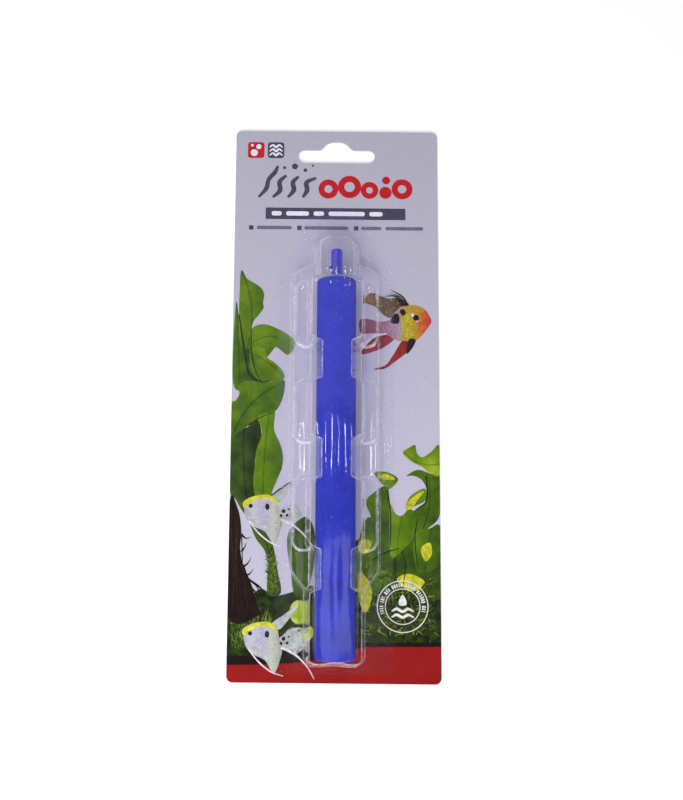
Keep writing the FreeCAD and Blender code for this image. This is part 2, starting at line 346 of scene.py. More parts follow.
def stone_material():
    """Bonded mineral grit dyed through: matt, with darker pores and a few glossier grain faces, each
    with a painted highlight at its centre.
    """
    made, tree, place = new_material("dyed_bonded_mineral")
    grit = add(tree, "ShaderNodeTexVoronoi", {"Vector": place, "Scale": per(0.6)})
    grey = add(tree, "ShaderNodeRGBToBW", {0: grit.outputs["Color"]})
    cloud = add(tree, "ShaderNodeTexNoise", {"Vector": place, "Scale": per(9.0), "Detail": 3.0})
    sum_of = add(
        tree, "ShaderNodeMath", {0: grey, 1: 0.55, 2: cloud.outputs["Fac"]}, operation="MULTIPLY_ADD"
    )
    value = add(
        tree, "ShaderNodeMapRange",
        {"Value": sum_of, "From Min": 0.45, "From Max": 1.15, "To Min": 0.72, "To Max": 1.22},
    )
    dyed = add(tree, "ShaderNodeHueSaturation", {"Value": value, "Color": colour_of("stone")})
    # about one grain in a hundred shows a clean face: it is glossier, and a pale painted highlight sits
    # at its centre
    clean_face_and_painted_glint = add(tree, "ShaderNodeMath", {0: grey, 1: 0.92}, operation="GREATER_THAN")
    core = add(
        tree, "ShaderNodeMapRange",
        {
            "Value": grit.outputs["Distance"], "From Min": 0.1, "From Max": 0.4, "To Min": 0.75,
            "To Max": 0.0,
        },
    )
    share = add(tree, "ShaderNodeMath", {0: clean_face_and_painted_glint, 1: core}, operation="MULTIPLY")
    # A9AEF2 is the painted highlight's pale colour, strongest at the grain's centre
    colour = add(tree, "ShaderNodeMix", {"Factor": share, 6: dyed, 7: "#A9AEF2"}, data_type="RGBA")
    rough = add(tree, "ShaderNodeMapRange", {"Value": share, "To Min": 0.62, "To Max": 0.3})
    bump = add(
        tree, "ShaderNodeBump",
        {"Height": grit.outputs["Distance"], "Strength": 0.5, "Distance": 0.00012}, invert=True,
    )
    shader = add(
        tree, "ShaderNodeBsdfPrincipled",
        {
            "Base Color": colour.outputs[2], "Roughness": rough, "IOR": 1.5, "Specular IOR Level": 0.2,
            "Normal": bump,
        },
    )
    finish_material(tree, shader)
    return made


def nozzle_material():
    """Injection-moulded PVC: full gloss with a faint flow ripple along the tube."""
    made, tree, place = new_material("moulded_pvc_gloss")
    long_place = add(tree, "ShaderNodeMapping", {"Vector": place, "Scale": (1.0, 0.15, 1.0)})
    flow = add(tree, "ShaderNodeTexNoise", {"Vector": long_place, "Scale": per(0.9), "Detail": 2.0})
    value = add(
        tree, "ShaderNodeMapRange",
        {"Value": flow.outputs["Fac"], "From Min": 0.3, "From Max": 0.7, "To Min": 0.85, "To Max": 1.15},
    )
    dyed = add(tree, "ShaderNodeHueSaturation", {"Value": value, "Color": colour_of("nozzle")})
    bump = add(
        tree, "ShaderNodeBump", {"Height": flow.outputs["Fac"], "Strength": 0.2, "Distance": 0.0001}
    )
    shader = add(
        tree, "ShaderNodeBsdfPrincipled",
        {"Base Color": dyed, "Roughness": 0.1, "IOR": 1.54, "Normal": bump},
    )
    finish_material(tree, shader)
    return made


def resin_material():
    """Cured two-part resin: satin, clouded where it soaked up the stone's dye."""
    made, tree, place = new_material("cured_epoxy_resin")
    cloud = add(tree, "ShaderNodeTexNoise", {"Vector": place, "Scale": per(1.2), "Detail": 3.0})
    stops = [(0.3, "#3B40A0"), (0.5, "#8C8FC8"), (0.7, "#B9BAD8")]
    colour = add(tree, "ShaderNodeValToRGB", {"Fac": cloud.outputs["Fac"]}, stops)
    bump = add(
        tree, "ShaderNodeBump", {"Height": cloud.outputs["Fac"], "Strength": 0.4, "Distance": 0.0002}
    )
    shader = add(
        tree, "ShaderNodeBsdfPrincipled",
        {"Base Color": colour, "Roughness": 0.35, "IOR": 1.55, "Normal": bump},
    )
    finish_material(tree, shader)
    return made


def sheet_material():
    """Thermoformed clear PET: almost all seen through, mirrors by angle, with a white film where the
    mould drew it out that is partly the sheet's whitening and partly painted reflection of the card and
    surroundings, and with the fine dots of the heat-seal plate on its flange."""
    made, tree, place = new_material("thermoformed_clear_pet")
    drawn = add(tree, "ShaderNodeAttribute", attribute_name="drawn").outputs["Fac"]
    sealed = add(tree, "ShaderNodeAttribute", attribute_name="sealed").outputs["Fac"]
    ripple = add(tree, "ShaderNodeTexNoise", {"Vector": place, "Scale": per(7.0), "Detail": 2.0})
    # the plate's dots are about 0.4 mm apart, drawn at 0.8 mm so that they show
    dots = add(tree, "ShaderNodeTexVoronoi", {"Vector": place, "Scale": per(0.8)})
    knurl = add(tree, "ShaderNodeMath", {0: dots.outputs["Distance"], 1: sealed}, operation="MULTIPLY")
    height = add(
        tree, "ShaderNodeMath", {0: knurl, 1: 0.5, 2: ripple.outputs["Fac"]}, operation="MULTIPLY_ADD"
    )
    bump = add(tree, "ShaderNodeBump", {"Height": height, "Strength": 0.22, "Distance": 0.0002})
    facing = add(tree, "ShaderNodeLayerWeight", {"Blend": 0.5, "Normal": bump}).outputs["Facing"]
    fifth = add(tree, "ShaderNodeMath", {0: facing, 1: 5.0}, operation="POWER")
    # Schlick's curve; PET at IOR 1.57 starts at 0.049, of which over half finds its way on to the card
    mirror = add(tree, "ShaderNodeMath", {0: fifth, 1: 0.98, 2: 0.02}, operation="MULTIPLY_ADD")
    # what one face turns back reaches the card another way, so it casts no shadow of its own
    shadow = add(tree, "ShaderNodeLightPath").outputs["Is Shadow Ray"]
    lit = add(tree, "ShaderNodeMath", {0: 1.0, 1: shadow}, operation="SUBTRACT")
    mirror = add(tree, "ShaderNodeMath", {0: mirror, 1: lit}, operation="MULTIPLY")
    clear = add(tree, "ShaderNodeBsdfTransparent", {"Color": "#FEFEFF"})
    # film is a diffuse white-lavender: partly the sheet's whitening, partly painted reflection
    film = add(tree, "ShaderNodeBsdfDiffuse", {"Color": "#E6E4F2"})
    # the white film shows where the fold bends the sheet, and less where the wall is drawn thin; it is
    # partly the sheet's whitening and partly painted reflection standing in for what the slopes mirror
    whitening_and_painted_reflection = add(
        tree, "ShaderNodeValToRGB", {"Fac": drawn},
        [(0.0, "#080808"), (0.1, "#101010"), (0.2, "#969696"), (0.42, "#969696"), (0.6, "#444444")],
    )
    # pulled unevenly, so the white, whitening and painted reflection alike, comes and goes along a fold;
    # the sealed rim is cut, not bent
    patchy = uneven(tree, place, 2.2, 0.35, 1.25, detail=2.0, reach=0.15)
    bent = add(tree, "ShaderNodeMath", {0: sealed, 1: -0.9, 2: 1.0}, operation="MULTIPLY_ADD")
    share = add(tree, "ShaderNodeMath", {0: patchy, 1: bent}, operation="MULTIPLY")
    whitening_and_painted_reflection = add(tree, "ShaderNodeMath", {0: whitening_and_painted_reflection, 1: share}, operation="MULTIPLY")
    body = add(tree, "ShaderNodeMixShader", {0: whitening_and_painted_reflection, 1: clear, 2: film})
    gloss = add(tree, "ShaderNodeBsdfGlossy", {"Color": "#FFFFFF", "Roughness": 0.07, "Normal": bump})
    finish_material(tree, add(tree, "ShaderNodeMixShader", {0: mirror, 1: body, 2: gloss}))
    return made


# --- meshes ------------------------------------------------------------------------------------
def mesh_piece(name, points, faces, material, smooth=False):
    """A mesh object from millimetre points. It stays at the origin."""
    data = bpy.data.meshes.new(name)
    data.from_pydata([Vector(p) * MM for p in points], [], faces)
    data.validate()
    data.materials.append(material)
    data.shade_smooth() if smooth else data.shade_flat()
    made = bpy.data.objects.new(name, data)
    bpy.context.scene.collection.objects.link(made)
    return made


def place_piece(piece, body, slot, *nodes):
    """Rides a piece on its body, in place of any CAD nodes it stands for, which it hides. slot is not
    used.
    """
    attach(piece, body)
    if nodes:
        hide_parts(*nodes)
    return piece


def applied(piece):
    """The piece with its modifiers turned into its mesh."""
    bpy.context.view_layer.update()
    graph = bpy.context.evaluated_depsgraph_get()
    data = bpy.data.meshes.new_from_object(piece.evaluated_get(graph), depsgraph=graph)
    old = piece.data
    piece.modifiers.clear()
    piece.data = data
    data.name = piece.name
    bpy.data.meshes.remove(old)
    return piece


def lathe(name, profile, material, turns, wobble=None, capped=False):
    """A solid turned about the stone's axis from (radius, y) points that run counterclockwise with the
    radius to the right. The profile closes on itself or, when capped, starts and ends near the axis,
    with a centre point closing each end. wobble(radius, y, angle) returns a new radius."""
    points, faces = [], []
    count = len(profile)
    for i in range(turns):
        angle = 2 * math.pi * i / turns
        for radius, y in profile:
            if wobble:
                radius = wobble(radius, y, angle)
            points.append((radius * math.sin(angle), y, AXIS_Z + radius * math.cos(angle)))
    first_end, last_end = len(points), len(points) + 1
    if capped:
        points += [(0, profile[0][1], AXIS_Z), (0, profile[-1][1], AXIS_Z)]
    for i in range(turns):
        here, there = i * count, (i + 1) % turns * count
        for j in range(count - capped):
            k = (j + 1) % count
            faces.append((here + j, there + j, there + k, here + k))
        if capped:
            faces.append((there, here, first_end))
            faces.append((here + count - 1, there + count - 1, last_end))
    return mesh_piece(name, points, faces, material, smooth=True)


def fillet_points(corner_r, corner_y, radius, start, end, steps=6):
    """Points of a quarter arc about (corner_r, corner_y), from start to end degrees."""
    return [
        (
            corner_r + radius * math.cos(math.radians(start + (end - start) * i / steps)),
            corner_y + radius * math.sin(math.radians(start + (end - start) * i / steps)),
        )
        for i in range(steps + 1)
    ]


# --- flat outlines -----------------------------------------------------------------------------
def curved(points, steps=6):
    """A closed smooth outline through points (Catmull-Rom)."""
    p = np.array(points, float)
    a, c, d = np.roll(p, 1, 0), np.roll(p, -1, 0), np.roll(p, -2, 0)
    made = []
    for i in range(len(p)):
        for t in np.linspace(0, 1, steps, endpoint=False):
            made.append(
                0.5
                * (
                    2 * p[i] + (c[i] - a[i]) * t + (2 * a[i] - 5 * p[i] + 4 * c[i] - d[i]) * t**2
                    + (3 * p[i] - a[i] - 3 * c[i] + d[i]) * t**3
                )
            )
    return [tuple(v) for v in made]


def rounded(points, steps=7):
    """A closed outline from (x, y, corner radius) points, with its corners as arcs."""
    made = []
    for i, (x, y, radius) in enumerate(points):
        before, after = points[i - 1], points[(i + 1) % len(points)]
        here = Vector((x, y))
        if not radius:
            made.append((x, y))
            continue
        u = (Vector(before[:2]) - here).normalized()
        v = (Vector(after[:2]) - here).normalized()
        half = math.acos(max(-1.0, min(1.0, u.dot(v)))) / 2
        centre = here + (u + v).normalized() * (radius / math.sin(half))
        first = here + u * (radius / math.tan(half)) - centre
        last = here + v * (radius / math.tan(half)) - centre
        turn = first.angle_signed(last)
        for k in range(steps + 1):
            arm = Matrix.Rotation(-turn * k / steps, 2) @ first
            made.append(tuple(centre + arm))
    return made


def mirrored(right_side):
    """(x, y, corner radius) points of a right side, with those of the left side after them."""
    return list(right_side) + [(-x, y, r) for x, y, r in reversed(right_side)]


def ring(x, y, radius, steps=40, squeeze=1.0):
    """A circle's outline, or an oval's that is squeeze times as high as wide."""
    return [
        (
            x + radius * math.cos(2 * math.pi * i / steps),
            y + radius * squeeze * math.sin(2 * math.pi * i / steps),
        )
        for i in range(steps)
    ]


def block(x0, y0, x1, y1, radius=0.0):
    """A rectangle's outline with round corners."""
    return rounded([(x0, y0, radius), (x1, y0, radius), (x1, y1, radius), (x0, y1, radius)], 4)


def stroke(points, widths, steps=5):
    """An outline of a brush stroke along points, with a width at each."""
    path = [Vector(p) for p in open_curve(points, steps)]
    spots = np.linspace(0, len(widths) - 1, len(path))
    across = np.interp(spots, range(len(widths)), widths)
    left, right = [], []
    for i, here in enumerate(path):
        step = path[min(i + 1, len(path) - 1)] - path[max(i - 1, 0)]
        normal = Vector((-step.y, step.x)).normalized() * across[i] / 2
        left.append(tuple(here + normal))
        right.append(tuple(here - normal))
    return right + left[::-1]


def open_curve(points, steps=5):
    """A smooth open line through points (Catmull-Rom)."""
    p = [Vector(q) for q in points]
    p = [p[0] * 2 - p[1]] + p + [p[-1] * 2 - p[-2]]
    made = []
    for a, b, c, d in zip(p, p[1:], p[2:], p[3:]):
        for k in range(steps):
            t = k / steps
            made.append(
                0.5
                * (
                    2 * b + (c - a) * t + (2 * a - 5 * b + 4 * c - d) * t**2 + (3 * b - a - 3 * c + d)
                    * t**3
                )
            )
    return made + [p[-2]]


SAME_SPOT = 0.02  # points nearer than this are one


def kept_on_card(outline):
    """The outline held within the print's edges, without doubled points."""
    made = []
    for x, y in outline:
        spot = (
            max(-PRINT_EDGE, min(PRINT_EDGE, x)),
            max(CARD_END + PRINT_MARGIN, min(CARD_TOP - PRINT_MARGIN, y)),
        )
        if not made or math.dist(spot, made[-1]) > SAME_SPOT:
            made.append(spot)
    if math.dist(made[0], made[-1]) < SAME_SPOT:
        made.pop()
    return made


def print_layer(name, shapes, level, material, holes=None, leaves=None):
    """A thin closed layer of ink on the card's face. holes are each shape's inner outlines. leaves are
    each shape's (base, tip, shade, bend), written to the leaf and tone maps."""
    bottom = CARD_FACE
    points, faces, spans = [], [], []
    for number, shape in enumerate(shapes):
        # later shapes lie a hair over earlier ones, so that no two share a plane
        top = CARD_FACE + length_mm("ink") * (level + 1 + 0.9 * number / len(shapes))
        rings = [kept_on_card(shape)] + [kept_on_card(h) for h in (holes or {}).get(number, [])]
        flat = [v for r in rings for v in r]
        start, count = len(points), len(flat)
        points += [(x, y, top) for x, y in flat] + [(x, y, bottom) for x, y in flat]
        for a, b, c in tessellate_polygon([[Vector((x, y, 0)) for x, y in r] for r in rings]):
            (ax, ay), (bx, by), (cx, cy) = flat[a], flat[b], flat[c]
            if (bx - ax) * (cy - ay) - (by - ay) * (cx - ax) < 0:
                b, c = c, b
            faces.append((start + a, start + b, start + c))
            faces.append((start + count + a, start + count + c, start + count + b))
        first = start
        for r in rings:
            area = sum(x0 * y1 - x1 * y0 for (x0, y0), (x1, y1) in zip(r, r[1:] + r[:1]))
            outward = (area > 0) == (r is rings[0])
            for k in range(len(r)):
                a, b = first + k, first + (k + 1) % len(r)
                side = (a + count, b + count, b, a)
                faces.append(side if outward else side[::-1])
            first += len(r)
        spans.append((start, len(points)))
    made = mesh_piece(name, points, faces, material)
    if leaves:
        write_leaf_maps(made, spans, leaves)
    return place_piece(made, "card", "printed_board")


def write_leaf_maps(piece, spans, leaves):
    """Writes each leaf's own length and width, and its shade and bend, over its span of points."""
    data = piece.data
    leaf_map, tone_map = data.uv_layers.new(name="leaf"), data.uv_layers.new(name="tone")
    for (start, end), (base, tip, shade, bend) in zip(spans, leaves):
        axis = Vector(tip) - Vector(base)
        unit = axis.normalized()
        across = Vector((-unit.y, unit.x))
        spots = [Vector(data.vertices[i].co[:2]) / MM - Vector(base) for i in range(start, end)]
        reach = max(abs(s.dot(across)) for s in spots)
        for loop in data.loops:
            if start <= loop.vertex_index < end:
                spot = spots[loop.vertex_index - start]
                leaf_map.data[loop.index].uv = (spot.dot(unit) / axis.length, spot.dot(across) / reach)
                tone_map.data[loop.index].uv = (shade, bend)


# --- the card's print --------------------------------------------------------------------------
# Print levels, lowest first: what lies over what.
GROUND, FAR_LEAF, MID_LEAF, NEAR_LEAF, DETAIL, FIN, FISH_BODY, PATCH, TOPMOST = range(9)

# Each leaf: outline, base, tip, shade from 0 (dark) to 1 (pale), bend of its midrib.
FAR_LEAVES = [
    (
        [(-41, 30), (-36, 29), (-32, 24), (-29, 14), (-30, 5), (-38, 2), (-42, 8)], (-36, 2), (-37, 30),
        0.3, 0.1,
    ),
    (
        [
            (-42.4, -15), (-36, -12.8), (-31.8, -9.5), (-30, -15), (-30.3, -20), (-32.5, -26),
            (-31.5, -34), (-32, -42), (-33, -50), (-37, -47), (-40, -42), (-42.4, -38),
        ],
        (-34, -50), (-37, -8), 0.22, 0.2,
    ),
    (
        [
            (28.8, -32), (33.5, -29.4), (39, -31), (42.4, -31.5), (42.4, -47), (38, -52.5), (33.5, -54),
            (30, -48.6), (33, -45), (36.7, -42), (37, -37), (34.8, -33.2), (31.5, -31.8),
        ],
        (35, -54), (37, -29), 0.42, -0.3,
    ),
    ([(42.4, -67), (36, -72), (33, -80), (36, -84), (42.4, -77)], (34, -84), (43, -68), 0.3, 0.0),
    (
        [
            (13, -49), (20, -52), (26, -56), (33, -53), (38, -58), (42.4, -58), (42.4, -80), (34, -78),
            (24, -74), (16, -79), (9, -74), (9, -62),
        ],
        (25, -80), (27, -50), 0.36, 0.1,
    ),
]
MID_LEAVES = [
    (
        [(-41.5, 38.5), (-40, 33), (-37.8, 24), (-35.8, 14), (-34.6, 8), (-36, 4), (-42, 5.5)], (-39, 3),
        (-41, 38), 0.45, 0.0,
    ),
    (
        [
            (-36, 6.5), (-28, 5.8), (-21.3, 7), (-21, 2), (-22.5, -3), (-24.6, -6), (-28.5, -7.5),
            (-32, -9.5), (-36, -12.5), (-41, -16), (-42.4, -18), (-42.4, -3.5), (-40.8, -1.8),
            (-39.3, 1), (-39.8, 4),
        ],
        (-41, -14), (-21, 6), 0.48, 0.25,
    ),
    (
        [
            (-34.2, -50), (-29, -53.5), (-24.8, -60), (-22.8, -70), (-21.3, -79), (-26.6, -79.3),
            (-27, -65), (-32, -57),
        ],
        (-24, -79), (-33, -51), 0.35, -0.6,
    ),
    (
        [
            (27.5, -22.6), (30, -20.5), (32.6, -19.3), (33.2, -22.5), (35.5, -24.3), (39, -22),
            (42.4, -19.5), (42.4, -31), (39, -31), (35, -28), (31, -26),
        ],
        (42, -27), (28, -22), 0.74, 0.3,
    ),
    (
        [
            (12.5, -42.7), (15.7, -38.8), (20.6, -36), (22, -40), (22.3, -50), (22, -62), (15.1, -65.5),
            (12.3, -57.7), (14.8, -50),
        ],
        (18, -65), (19, -37), 0.45, 0.15,
    ),
    (
        [(33, -54), (38, -53), (42.4, -52), (42.4, -66), (38, -70), (33, -69.5), (31.5, -61)], (36, -70),
        (39, -52), 0.42, 0.0,
    ),
]
NEAR_LEAVES = [
    (
        [
            (-39.5, 53), (-37, 49.5), (-34, 47.7), (-31, 45.5), (-29.8, 42.8), (-30.2, 39.5), (-30, 37),
            (-31.8, 34.2), (-34.2, 31), (-34.9, 26), (-35.2, 20), (-39.5, 22), (-40.1, 34), (-40, 44),
        ],
        (-36.5, 20), (-39, 52), 0.55, -0.35,
    ),
    (
        [
            (-34.8, 28), (-30, 30.2), (-24.5, 28.6), (-19.8, 26), (-16.8, 23.2), (-17.3, 20),
            (-19.7, 17.4), (-22.5, 19.3), (-24.6, 20.6), (-26.3, 18.8), (-28.2, 16.5), (-32, 15),
            (-34.5, 20),
        ],
        (-35, 22), (-17.5, 19), 0.58, 0.5,
    ),
    (
        [
            (-34.8, 20), (-30, 20.3), (-28, 16.2), (-24.6, 13.8), (-21.3, 10), (-21.4, 7.3),
            (-25.5, 6.3), (-30.5, 6), (-34.3, 9.8), (-35.5, 15),
        ],
        (-35, 18), (-21, 8), 0.62, 0.15,
    ),
    (
        [
            (-31.5, -8.5), (-27, -6.5), (-24.6, -6), (-24.9, -13.5), (-22.5, -19), (-21.1, -24),
            (-21.5, -29), (-23, -33), (-25, -38), (-27, -43), (-31, -44), (-33, -36), (-32.5, -28),
            (-32, -22), (-29.8, -15),
        ],
        (-29, -44), (-27, -7), 0.6, 0.1,
    ),
    (
        [
            (-15, -50.5), (-11, -49), (-8, -55), (-8, -66), (-10, -76), (-12, -80), (-16, -79),
            (-17.6, -70), (-19, -61), (-18.5, -55),
        ],
        (-14, -80), (-13, -49), 0.36, 0.0,
    ),
    (ring(-14, -86.5, 3.8, 10, 1.24), (-14, -91), (-14, -82), 0.9, 0.0),
    (
        [(28.8, -45), (29.5, -41.5), (32, -38.8), (36.5, -37), (36.6, -41.5), (33.5, -43.5)], (29, -45),
        (36, -37), 0.68, 0.0,
    ),
    (
        [(16, -30.7), (20.8, -30.4), (25.6, -33.3), (22.1, -37.3), (20.2, -36.2), (17.6, -33.6)],
        (21, -37), (20, -30), 0.66, 0.0,
    ),
    (
        [
            (22.1, -44), (24.6, -47.3), (27.2, -47.9), (29.7, -45.3), (32.3, -47.3), (31.9, -56.4),
            (27.8, -60.9), (22.5, -64),
        ],
        (25, -64), (28, -45), 0.62, 0.1,
    ),
]
SMALL_FISH_PLACES = [(0.0, 0.0), (0.6, -50.3)]


def shifted(points, dx, dy):
    """Points moved by dx and dy."""
    return [(x + dx, y + dy) for x, y in points]


def lay_leaves(name, leaves, level, material):
    """One printed layer of leaves, with their maps."""
    outlines = [curved(leaf[0]) for leaf in leaves]
    return print_layer(name, outlines, level, material, leaves=[leaf[1:] for leaf in leaves])


def print_plants():
    """The leaves, their dark edges and the root."""
    leaf = leaf_material()
    lay_leaves("printed_leaves_far", FAR_LEAVES, FAR_LEAF, leaf)
    lay_leaves("printed_leaves_middle", MID_LEAVES, MID_LEAF, leaf)
    lay_leaves("printed_leaves_near", NEAR_LEAVES, NEAR_LEAF, leaf)

    shade = ink_material("printed_shade_ink", "#10190A", "#26370F", 3.0)
    ribs = [
        stroke(
            [(-40, 34), (-38.4, 24), (-36.6, 14), (-35.2, 9), (-31, 6.2), (-27, 6.3)],
            [0.5, 0.9, 0.8, 0.3],
        ),
        stroke([(-34.6, 28), (-34.8, 20), (-33, 11), (-30.5, 6.4)], [0.3, 0.6, 0.3]),
        stroke([(-35.5, -12), (-30.5, -8.6), (-25, -6.4)], [0.5, 0.3]),
        stroke([(20.8, -37), (22.4, -46), (22.4, -60)], [0.3, 0.6, 0.4]),
        stroke([(36.8, -32), (37.4, -38), (36.4, -43), (32, -46)], [0.7, 0.8, 0.3]),
        stroke([(33.4, -49), (32.2, -57), (33.4, -69)], [0.4, 0.5, 0.3]),
        stroke([(14.5, -66), (21, -62.5), (26, -61)], [0.5, 0.7, 0.3]),
        stroke([(27, -62), (28.5, -68), (27.5, -75)], [0.5, 0.6, 0.3]),
    ]
    print_layer("printed_leaf_edges", ribs, DETAIL, shade)

    bark = ink_material("printed_bark_ink", "#080202", "#24100A", 2.0)
    root = [
        (-42.4, -43), (-39, -46), (-37.5, -54), (-37.8, -62), (-36, -70), (-33, -76), (-31, -83),
        (-30, -88), (-42.4, -88),
    ]
    thorns = [
        stroke([(-37.6, -56), (-35.6, -57.6), (-33.4, -57)], [1.1, 0.5, 0.1]),
        stroke([(-37.4, -63), (-36, -61), (-35.4, -59)], [0.9, 0.5, 0.1]),
        stroke([(-36.6, -69), (-34.6, -67.4), (-33.2, -64.6)], [1.0, 0.5, 0.1]),
        stroke([(-35.4, -72.4), (-33.6, -71.4), (-32.4, -69.4)], [0.9, 0.5, 0.1]),
        stroke([(-33.6, -77), (-31.6, -78.6), (-30.6, -80.6)], [1.0, 0.6, 0.2]),
        stroke([(-34, -74), (-29.6, -77), (-27.2, -80.4)], [0.9, 0.7, 0.3]),
        stroke([(-36.6, -68), (-34.4, -73.4), (-30.8, -76.8), (-28.8, -82)], [0.7, 0.6, 0.5, 0.3]),
    ]
    print_layer("printed_root", [curved(root)] + thorns, DETAIL, bark)
    lit_bark = ink_material("printed_lit_bark_ink", "#160A06", "#452A1E", 1.2)
    strands = [
        stroke(
            [
                (-41.6 + 1.1 * k, -46 - 2.2 * k), (-41.4 + 1.2 * k + 0.5 * (k % 2), -58),
                (-40.2 + 1.2 * k - 0.6 * (k % 3), -70), (-40.6 + 2.1 * k, -86),
            ],
            [0.15, 0.5, 0.3, 0.2],
        )
        for k in range(4)
    ]
    print_layer("printed_root_strands", strands, TOPMOST, lit_bark)


def print_grounds():
    """The dark and coloured fields behind and below the plants."""
    earth = ink_material("printed_dark_foliage_ink", "#0B1405", "#2A3D0C", 2.4, 0.3)
    left = [
        (-42.4, -80), (-38, -84), (-33, -80), (-29, -77.5), (-24, -80), (-18, -79), (-10, -76),
        (-8, -80), (-8, -105), (-42.4, -105),
    ]
    right = [(8, -60), (14, -62), (20, -65), (27, -62), (33, -68), (42.4, -66), (42.4, -99), (8, -99)]
    print_layer("printed_dark_foliage", [curved(left), curved(right)], GROUND, earth)

    black = ink_material("printed_black_ink", "#0B0404", "#1A0C0B", 3.0)
    wedge = [
        (-42.45, -103.6), (-30, -103.4), (-20, -102.4), (-12, -99.5), (-8, -97.5), (-4, -99), (-4, -104),
        (-10, -105.7), (-25, -106.9), (-42.45, -107.2),
    ]
    strip = [(6, -98.5), (14, -98.2), (42.45, -97.6), (42.45, -99.4), (14, -99.7), (6, -101)]
    print_layer("printed_ground_line", [wedge, strip], NEAR_LEAF, black)

    corner = 2.5 - PRINT_MARGIN  # the card's own corner, less the margin
    edge, foot = PRINT_EDGE, CARD_END + PRINT_MARGIN
    band = rounded([(-edge, -107, 0), (-edge, foot, corner), (edge, foot, corner), (edge, -99.3, 0)])
    band += [(14, -99.5), (8, -100), (4, -101.4), (0, -103), (-10, -105.5), (-25, -106.7)]
    red = ink_material("printed_red_ink", "#86100F", colour_of("band"), 9.0)
    print_layer("printed_band", [band], MID_LEAF, red)

    bright = ink_material("printed_new_growth_ink", "#8FA61E", "#D9C832", 1.6, 0.35)
    shoots = [
        [(10, -58.3), (13.6, -57.6), (14.6, -60), (12.4, -63.4), (9.6, -62)],
        [(25, -73), (30, -71), (36, -74), (33, -77.6), (28, -76.6)],
        [(9.5, -71), (13, -73), (15, -79), (13, -86), (10, -82)],
        [(34.6, -61), (38.2, -58.6), (39, -63), (36.4, -66)],
        [(28.6, -45.4), (29.6, -42.4), (32.6, -39.6), (36, -38), (33.4, -41.6), (31, -45)],
        [(17.6, -32.2), (21, -31.2), (24.4, -33.2), (21, -33.6)],
        [(-13, -95), (-9.4, -92), (-8.2, -95), (-10.6, -97.8)],
    ]
    print_layer("printed_new_growth", [curved(s) for s in shoots], DETAIL, bright)

    pale = ink_material("printed_pale_foam_ink", "#5E6A5C", "#C9CCC6", 1.3, 0.3)
    foam = [
        (-20.6, -97), (-18.6, -93.6), (-14.6, -92.4), (-10.6, -93.6), (-10, -97), (-12.6, -101),
        (-16, -103), (-19.4, -101),
    ]
    print_layer("printed_foam", [curved(foam)], DETAIL, pale)

    grey = ink_material("printed_twig_ink", "#241E12", "#4C4630", 2.0)
    twigs = [
        stroke([(9, -88), (18, -91.5), (30, -91), (42.4, -93.4)], [0.4, 0.6, 0.4]),
        stroke([(12, -98), (17, -92), (19, -84)], [0.7, 0.5, 0.2]),
        stroke([(40, -70), (34, -78), (31, -88), (28, -98)], [0.3, 0.7, 0.8, 0.5]),
        stroke([(38, -98), (39, -88), (42.4, -82)], [0.6, 0.5, 0.3]),
    ]
    print_layer("printed_twigs", twigs, DETAIL, grey)


